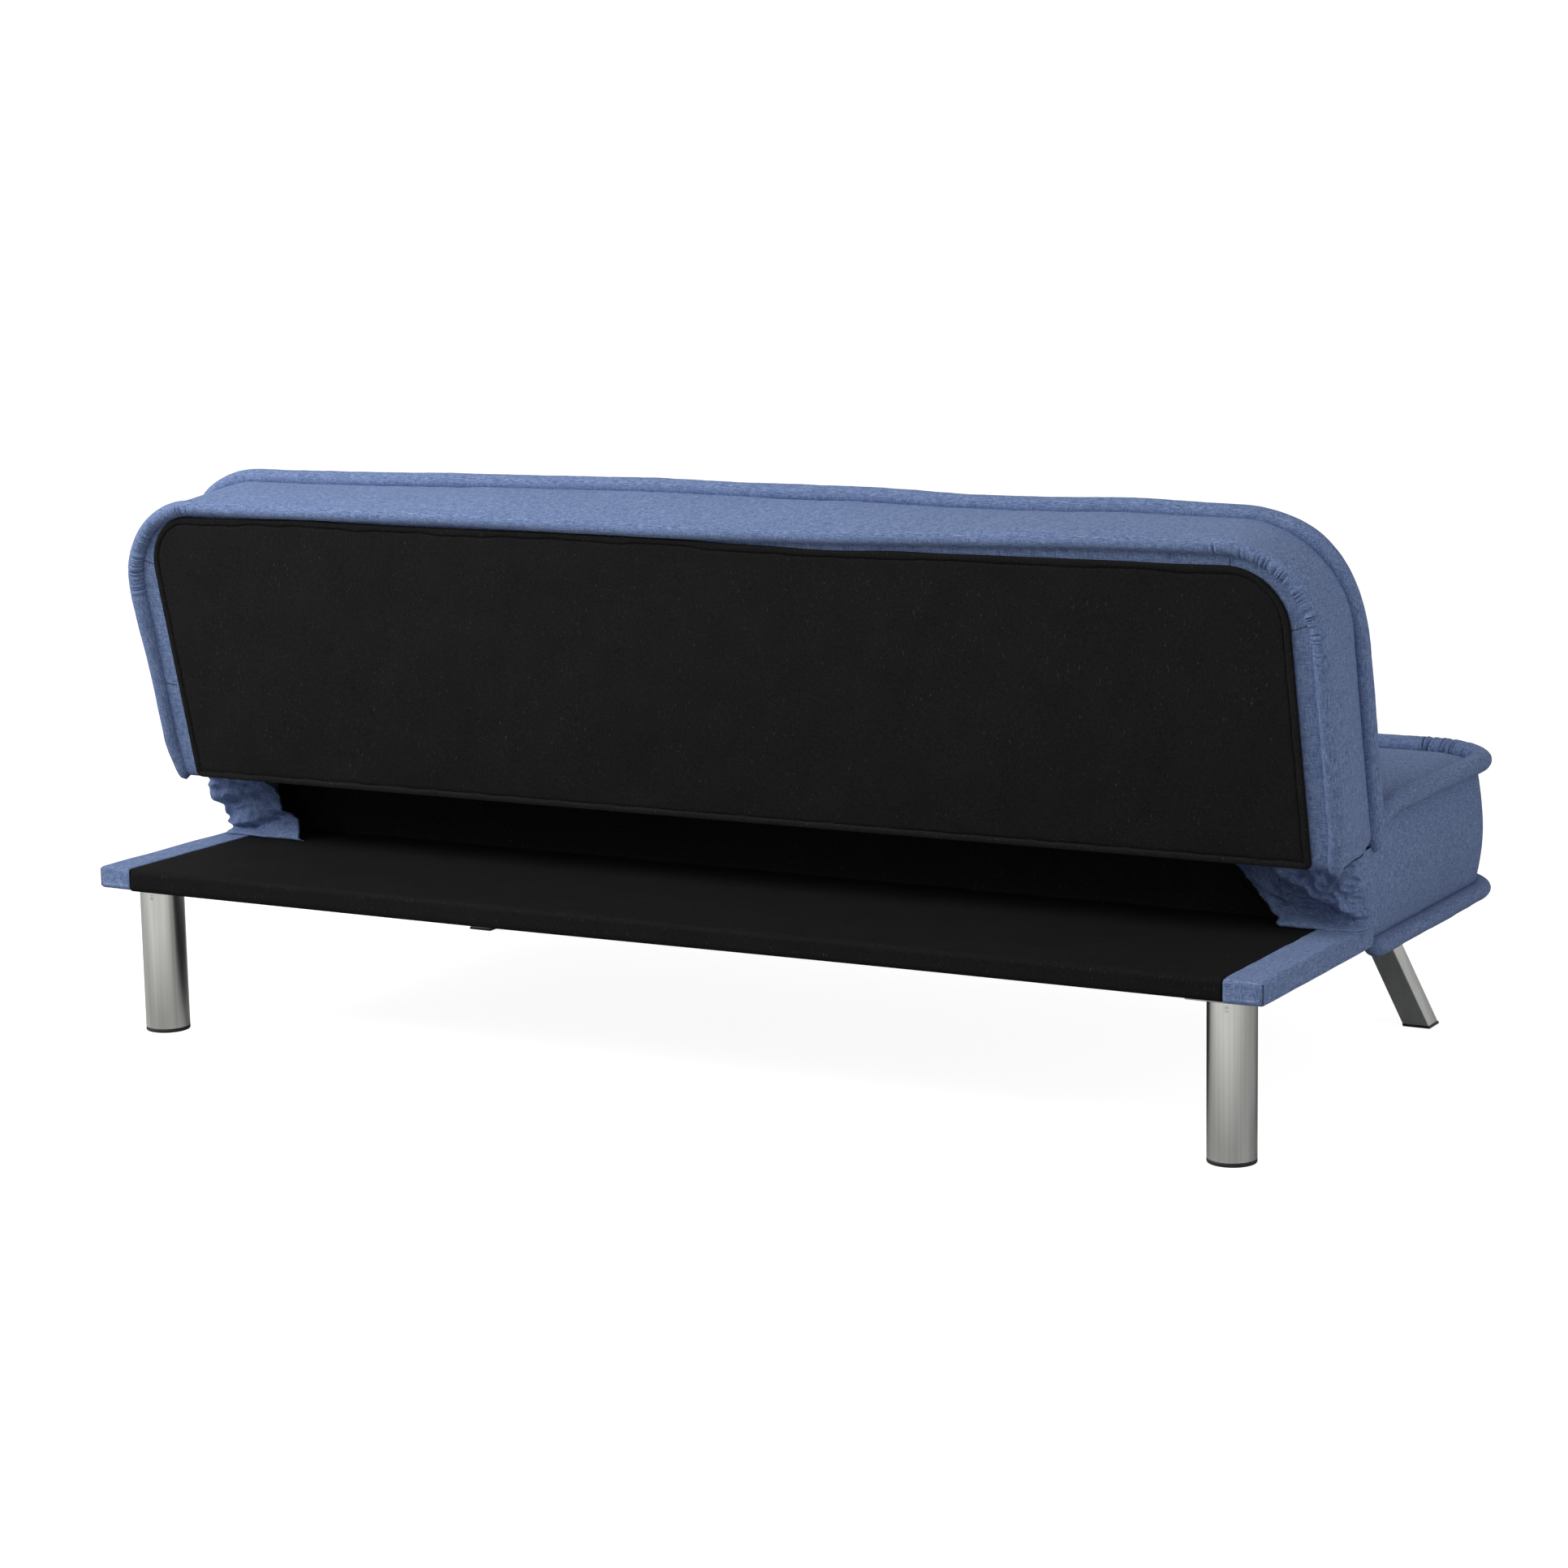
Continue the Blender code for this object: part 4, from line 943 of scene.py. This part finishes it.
def gusset(side, sign):
    """The loose blue fabric at an end, from the seat's side round to its serged inner edge. It is
    flush with the seat and hangs from the backrest above; behind, a slack fold hollows it out, and
    its lower edge lies on the deck."""
    rows, columns = 120, 200
    bottom = DECK_TOP + 0.0008
    right = sign < 0
    inner_low, inner_high, bow = (0.800, 0.706, 1.0) if right else (0.742, 0.806, 0.55)
    hh, aa = np.meshgrid(np.linspace(0, 1, rows), np.linspace(0, 1, columns), indexing="ij")
    lean = smooth(hh, 0.0, 1.0)
    start_x, start_d = 0.9055 + 0.0025 * lean, SEAT_REAR + 0.006
    if not right:
        start_x = 0.8960 + 0.0190 * np.sin(pi * np.clip(0.62 * hh, 0, 1))
    rear_d = 0.318 - 0.034 * lean if right else 0.287 - 0.015 * lean
    radius = 0.020 if right else 0.014
    inner_x = inner_low + (inner_high - inner_low) * hh ** bow
    side_run, quarter = start_d - rear_d - radius, radius * pi / 2
    u = aa * (side_run + quarter + start_x - radius - inner_x)
    angle = np.clip((u - side_run) / radius, 0, pi / 2)
    x = start_x - radius + radius * np.cos(angle) - np.clip(u - side_run - quarter, 0, None)
    d = rear_d + radius - radius * np.sin(angle) + np.clip(side_run - u, 0, None)
    nx, nd = np.cos(angle), -np.sin(angle)
    top = BACK_FOOT_Z + 0.0030 + 0.0623 * (d - BACK_FOOT_D) + 0.026 * smooth(d, 0.352, SEAT_REAR)
    z = bottom + (top - bottom) * hh

    seed = 96 if right else 90
    flat = np.stack([(u * 0.90 + z * 0.44).ravel(), (z * 0.90 - u * 0.44).ravel()], -1)
    broad = 1 - np.abs(drift(flat * (1.0, 2.2), 0.13, seed, 6)).reshape(u.shape)
    small = 1 - np.abs(drift(flat * (1.0, 1.7), 0.040, seed + 1, 6)).reshape(u.shape)
    folds = (((0.812, 0.316), (0.895, 0.272), 0.020), ((0.760, 0.305), (0.850, 0.262), 0.006))
    if not right:
        folds = (((0.800, 0.330), (0.900, 0.300), 0.010), ((0.770, 0.292), (0.885, 0.262), 0.013))
    free = smooth(aa, 0.14, 0.34)
    held = smooth(hh, 0.0, 0.10) * (1 - smooth(hh, 0.86, 1.0))
    tiny = 1 - np.abs(drift(flat * (1.0, 1.4), 0.018, seed + 3, 6)).reshape(u.shape)
    push = 0.0070 * (broad - 0.45) + 0.0034 * (small - 0.5) + 0.0007 * (tiny - 0.5)
    for start, end, hollow in folds:
        r = fold_line(x, z, start, end)
        push += 0.30 * hollow * hump(r, -0.003, 0.008)
        push -= hollow * smooth(r, 0.0, 0.013) * (1 - smooth(r, 0.026, 0.070))
    push *= free * held
    push += 0.0008 * smooth(aa, 0.01, 0.10) * held * (small - 0.5)
    if not right:
        push += 0.0050 * held * hump(aa, 0.22, 0.13) * (broad + small - 0.8)
    push += 0.0085 * smooth(aa, 0.34, 0.46) * hump(z, bottom + 0.004, 0.006) * (0.6 + 0.8 * broad)
    x += push * nx
    d += push * nd
    z += held * free * 0.0030 * drift(flat, 0.09, seed + 2).reshape(u.shape)
    x -= 0.022 * smooth(d, SEAT_REAR - 0.007, SEAT_REAR + 0.001)
    edge = smooth(aa, 0.95, 1.0)
    x += edge * 0.0014 * np.sin(2 * pi * hh * 7 + 3 * broad)
    points = np.stack([sign * x, REAR - d, np.maximum(z, bottom)], -1)
    obj = add_mesh(f"gusset_cloth_{side}", points.reshape(-1, 3), grid_faces(rows, columns), FABRIC,
                   None, 80)
    thickened(obj, 0.0010, 0.0)
    cross_joint(obj, f"gusset_{side}")
    serge = threads(f"gusset_serging_{side}", [overlock(points[:, -1], 0.0013, 0.0040)], 0.0005,
                    SERGE_THREAD)
    cross_joint(serge, None)
    seam = points[:, 1] + np.array([sign * 0.0006, 0, 0])
    # Its dark dashes paint the shadow along the seam.
    stitched = threads(f"gusset_seam_{side}", dashes(seam, 0.0042, 0.6), 0.0005, SEAM_SHADOW_THREAD)
    cross_joint(stitched, None)


def boxing_lower_seams(cover):
    """The dotted seam along the lower edge of the boxing, where the gusset is sewn to it, in dark dashes
    that paint the seam's shadow.
    """
    skin = BVHTree.FromObject(cover, bpy.context.evaluated_depsgraph_get())
    for side, sign in SIDES:
        line = []
        for across in np.linspace(0.014, BACK_THICK - 0.012, 60):
            s = 0.0042 - BACK_UNDERCUT * across / BACK_THICK
            spot, *_ = skin.ray_cast(Vector((sign, -across, s)), Vector((-sign, 0, 0)))
            if spot is not None:
                line.append(spot + Vector((sign * 0.0002, 0, 0)))
        hem = threads(f"boxing_lower_seam_{side}", dashes(np.array(line), 0.0048, 0.66), 0.0012,
                      SEAM_SHADOW_THREAD, BACK_PLACE)
        finished(hem, "backrest", "blue_fabric")


def paced(line):
    """A line's length, and a function for its points at given distances from its start."""
    steps = np.linalg.norm(np.diff(line, axis=0), axis=1)
    place = np.concatenate([[0], np.cumsum(steps)])
    return place[-1], lambda r: np.stack([np.interp(r, place, line[:, k]) for k in range(3)], -1)


def dashes(line, pitch, share):
    """Cuts a run of points into stitches, each the given share of the pitch long."""
    length, at = paced(line)
    return [at(np.linspace(a, a + pitch * share, 3)) for a in np.arange(0, length - pitch * share, pitch)]


def overlock(run, reach, pitch):
    """A thread that loops over an edge, as a coil round it."""
    length, at = paced(run)
    dense = np.linspace(0, length, int(length / pitch * 10))
    phase = 2 * pi * dense / pitch
    out = np.stack([np.sign(run[0, 0]) * np.cos(phase), np.sin(phase), 0 * phase], -1)
    return at(dense) + reach * out


def cross_joint(obj, node):
    """A loose piece that stays on the deck below and reaches the backrest above. Its place is baked into
    its mesh, and the CAD node it stands for, if any, is hidden.
    """
    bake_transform(obj)
    if node:
        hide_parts(node)


def curtain():
    """The black curtain between the gussets, from the deck up to the underside of the backrest."""
    rows, columns = 40, 320
    half, bottom, top = 0.84, DECK_TOP + 0.0008, 0.352
    xx, hh = np.meshgrid(np.linspace(-half, half, columns), np.linspace(0, 1, rows))
    folds = wander(xx + 0.04 * hh, 0.17, 101) * 0.5 + 0.5 * wander(xx - 0.06 * hh, 0.07, 102)
    d = 0.357 - 0.010 * hh + 0.0045 * folds * np.sin(pi * hh) ** 0.6 + 0.002 * wander(xx, 0.3, 103)
    z = bottom + (top - bottom) * hh
    points = np.stack([xx, REAR - d, z], -1).reshape(-1, 3)
    obj = add_mesh("inner_curtain_cloth", points, grid_faces(rows, columns), FELT, None, 80)
    thickened(obj, 0.0010, 0.0)
    cross_joint(obj, "inner_curtain")


def dust_cover():
    """Black felt stapled under the seat frame, sagging a little between its edges."""
    low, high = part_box("seat_dust_cover")
    half, rear, front = high.x - 0.001, REAR - high.y + 0.001, REAR - low.y - 0.001
    radius = SEAT_CORNER - 0.006
    flat, faces = filled_plate(half, front, rear, radius, 0.006, (0, 0.004, 0.010), 0.012)
    depth = plate_depth(flat, half, front, radius, rear, 0.006)
    sag = 0.0008 + 0.0022 * smooth(depth, 0.01, 0.16) + 0.0006 * drift(flat, 0.12, 111)
    points = np.stack([flat[:, 0], REAR - flat[:, 1], high.z - sag * smooth(depth, 0, 0.04)], -1)
    obj = add_mesh("seat_underside_felt", points, faces, DUST_FELT, None, 60)
    thickened(obj, 0.0009, 0.0)
    finished(obj, "base", "black_felt", None, "seat_dust_cover")


# ---------------------------------------------------------------------------------------------
# Legs

def rear_legs():
    """Drawn round tubes with a rolled lip, a small dimple near the top, and a push-in foot cap."""
    for side, _ in SIDES:
        low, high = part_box(f"rear_leg_{side}")
        cx, cy = (low.x + high.x) / 2, (low.y + high.y) / 2
        r = (high.x - low.x) / 2
        wall = 0.0015
        outer = [(r - 0.0006, high.z), (r, high.z - 0.0006)]
        outer += [(r, z) for z in np.linspace(high.z - 0.003, low.z + 0.003, 110)]
        outer += [(r, low.z + 0.0006), (r - 0.0006, low.z)]
        inner = [(r - wall, low.z), (r - wall, high.z)]
        obj = lathe(f"rear_leg_tube_{side}", outer + inner, (cx, cy, 0), CHROME, 160, closed=True)
        dimple(obj, cx, cy, r, high.z - 0.0105)
        finished(obj, "base", "chrome", None, f"rear_leg_{side}")
        cap_low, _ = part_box(f"rear_foot_cap_{side}")
        rim = low.z - 0.0003
        cap = [(0, rim + 0.015), (r - wall - 0.0004, rim + 0.015), (r - wall - 0.0004, rim),
               (r - 0.0003, rim), (r + 0.0001, rim - 0.0005), (r + 0.0001, cap_low.z + 0.0014),
               (r - 0.0005, cap_low.z + 0.0004), (r - 0.0016, cap_low.z), (0, cap_low.z)]
        obj = lathe(f"rear_leg_cap_{side}", cap, (cx, cy, 0), PLASTIC, 128)
        finished(obj, "base", "black_plastic", None, f"rear_foot_cap_{side}")


def dimple(obj, cx, cy, r, z):
    """A shallow punched dent on the side that faces away from the seat."""
    points = coords(obj.data)
    angle = radians(100)
    spot = np.array([cx + r * cos(angle), cy + r * sin(angle), z])
    near = hump(np.linalg.norm(points - spot, axis=1), 0, 0.0022)
    inward = np.array([cx, cy, 0]) - points * np.array([1, 1, 0])
    inward /= np.maximum(np.linalg.norm(inward, axis=1, keepdims=True), 1e-9)
    set_coords(obj.data, points + inward * (0.0011 * near)[:, None])


def front_legs():
    """Square tubes splayed to the corners, with soft bright edges, and caps flat on the floor."""
    for side, sign in SIDES:
        for node, kind, finish, slot in ((f"front_leg_{side}", "tube", LEG_CHROME, "chrome"),
                                         (f"front_foot_cap_{side}", "cap", PLASTIC, "black_plastic")):
            low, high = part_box(node)
            lean = LEG_SPLAY * (high.z - low.z)
            width = (high.x - low.x) - lean
            depth = (high.y - low.y) - lean
            work = bmesh.new()
            bmesh.ops.create_cube(work, size=1.0)
            bottom_x = high.x - width if sign > 0 else low.x
            for vert in work.verts:
                up = vert.co.z > 0
                x = bottom_x + (width if vert.co.x > 0 else 0) - (sign * lean if up else 0)
                y = low.y + (depth if vert.co.y > 0 else 0) + (lean if up else 0)
                vert.co = (x, y, high.z if up else low.z)
            bmesh.ops.recalc_face_normals(work, faces=work.faces)
            edges = [e for e in work.edges
                     if kind == "cap" or abs(e.verts[0].co.z - e.verts[1].co.z) > 0.001]
            bmesh.ops.bevel(work, geom=edges, offset=0.0028 if kind == "tube" else 0.0008,
                            segments=5, profile=0.5, affect="EDGES")
            obj = add_object(f"front_leg_{kind}_{side}", work, finish, None, 30)
            finished(obj, "base", slot, None, node)


def dress_cad():
    """Gives every CAD node that still shows its finish."""
    finishes = {"chrome": CHROME, "steel": STEEL, "wood": WOOD, "webbing": WEBBING, "foam": FOAM,
                "black_felt": FELT, "blue_fabric": FABRIC, "black_plastic": PLASTIC}
    slots = {part["node"]: part["material_slot"] for part in frame["record"]["subparts"]}
    for node, obj in frame["nodes"].items():
        if obj.hide_render:
            continue
        finish = BOARD if node == "deck_board" else finishes[slots[node]]
        obj.data.materials.clear()
        obj.data.materials.append(finish)


# ---------------------------------------------------------------------------------------------
# Stage

def stage():
    """A pale floor, a pale room, and soft light from above, mostly over the sofa's left end."""
    pale = Material("pale_floor")
    cloud = pale.noise((2, 2, 2), 2)
    color = pale.ramp(cloud, (0.3, (0.40,) * 3), (0.7, (0.42,) * 3))
    pale.finish(Base_Color=color, Roughness=0.9, Specular_IOR_Level=0.1)
    glow = pale.feed(pale.add("ShaderNodeEmission"), Color=(1, 1, 1, 1), Strength=0.92)
    lit = pale.feed(pale.add("ShaderNodeAddShader"), n0=glow.outputs[0], n1=pale.shader.outputs[0])
    # Painted reflection: besides its even white glow to the camera, the floor glows for glossy rays only,
    # more towards the rear, so that the legs reflect a bright floor behind the sofa.
    rays = pale.add("ShaderNodeLightPath").outputs
    place = pale.feed(pale.add("ShaderNodeSeparateXYZ"), Vector=pale.place).outputs
    behind = pale.span(place[1], 0.0, 0.36, 0.5, 1.1)
    seen = pale.math("MULTIPLY_ADD", rays["Is Glossy Ray"], behind, rays["Is Camera Ray"])
    both = pale.feed(pale.add("ShaderNodeMixShader"), n0=seen, n1=pale.shader.outputs[0],
                     n2=lit.outputs[0])
    pale.feed(pale.tree.nodes["Material Output"], Surface=both.outputs[0])
    half = 60.0
    floor = add_mesh("floor", [(-half, -half, 0), (half, -half, 0), (half, half, 0), (-half, half, 0)],
                     [(0, 1, 2, 3)], pale.made, None)
    floor.location.z = -0.0002

    world = bpy.data.worlds.new("studio")
    bpy.context.scene.world = world
    world.use_nodes = True
    room = Nodes(world.node_tree)
    rays = room.add("ShaderNodeLightPath").outputs
    light = room.span(rays["Is Glossy Ray"], ROOM_LIGHT, GLINT_LIGHT)
    room.feed(room.tree.nodes["Background"], Color=(1, 1, 1, 1),
              Strength=room.span(rays["Is Camera Ray"], light, 1.05))

    for name, power, size, spot, aim in SOFTBOXES:
        light = bpy.data.lights.new(name, "AREA")
        light.energy = power
        light.shape = "RECTANGLE"
        light.size, light.size_y = size
        lamp = bpy.data.objects.new(name, light)
        lamp.location = spot
        lamp.rotation_mode = "QUATERNION"
        lamp.rotation_quaternion = (Vector(aim) - Vector(spot)).to_track_quat("-Z", "Y")
        lamp.visible_camera = False
        bpy.context.scene.collection.objects.link(lamp)


def camera():
    data = bpy.data.cameras.new("camera")
    data.lens = CAMERA_LENS
    data.sensor_width = 36.0
    forward = Vector(CAMERA_WAY).normalized()
    level = forward.cross(Vector((0, 0, 1))).normalized()
    up = level.cross(forward)
    roll_angle = radians(CAMERA_ROLL)
    right = level * cos(roll_angle) + up * sin(roll_angle)
    top = up * cos(roll_angle) - level * sin(roll_angle)
    turn = Matrix((right, top, -forward)).transposed().to_4x4()
    obj = bpy.data.objects.new("camera", data)
    obj.matrix_world = Matrix.Translation(CAMERA_PLACE) @ turn
    bpy.context.scene.collection.objects.link(obj)
    bpy.context.scene.camera = obj
    bpy.context.scene.view_settings.view_transform = "Standard"


camera()
stage()
boxing_lower_seams(back_cover())
seat_cover()
foam_pads()
back_rolls()
seat_rolls()
back_panel()
strip_seams()
deck()
for side, sign in SIDES:
    gusset(side, sign)
curtain()
dust_cover()
rear_legs()
front_legs()
dress_cad()

bpy.context.view_layer.update()
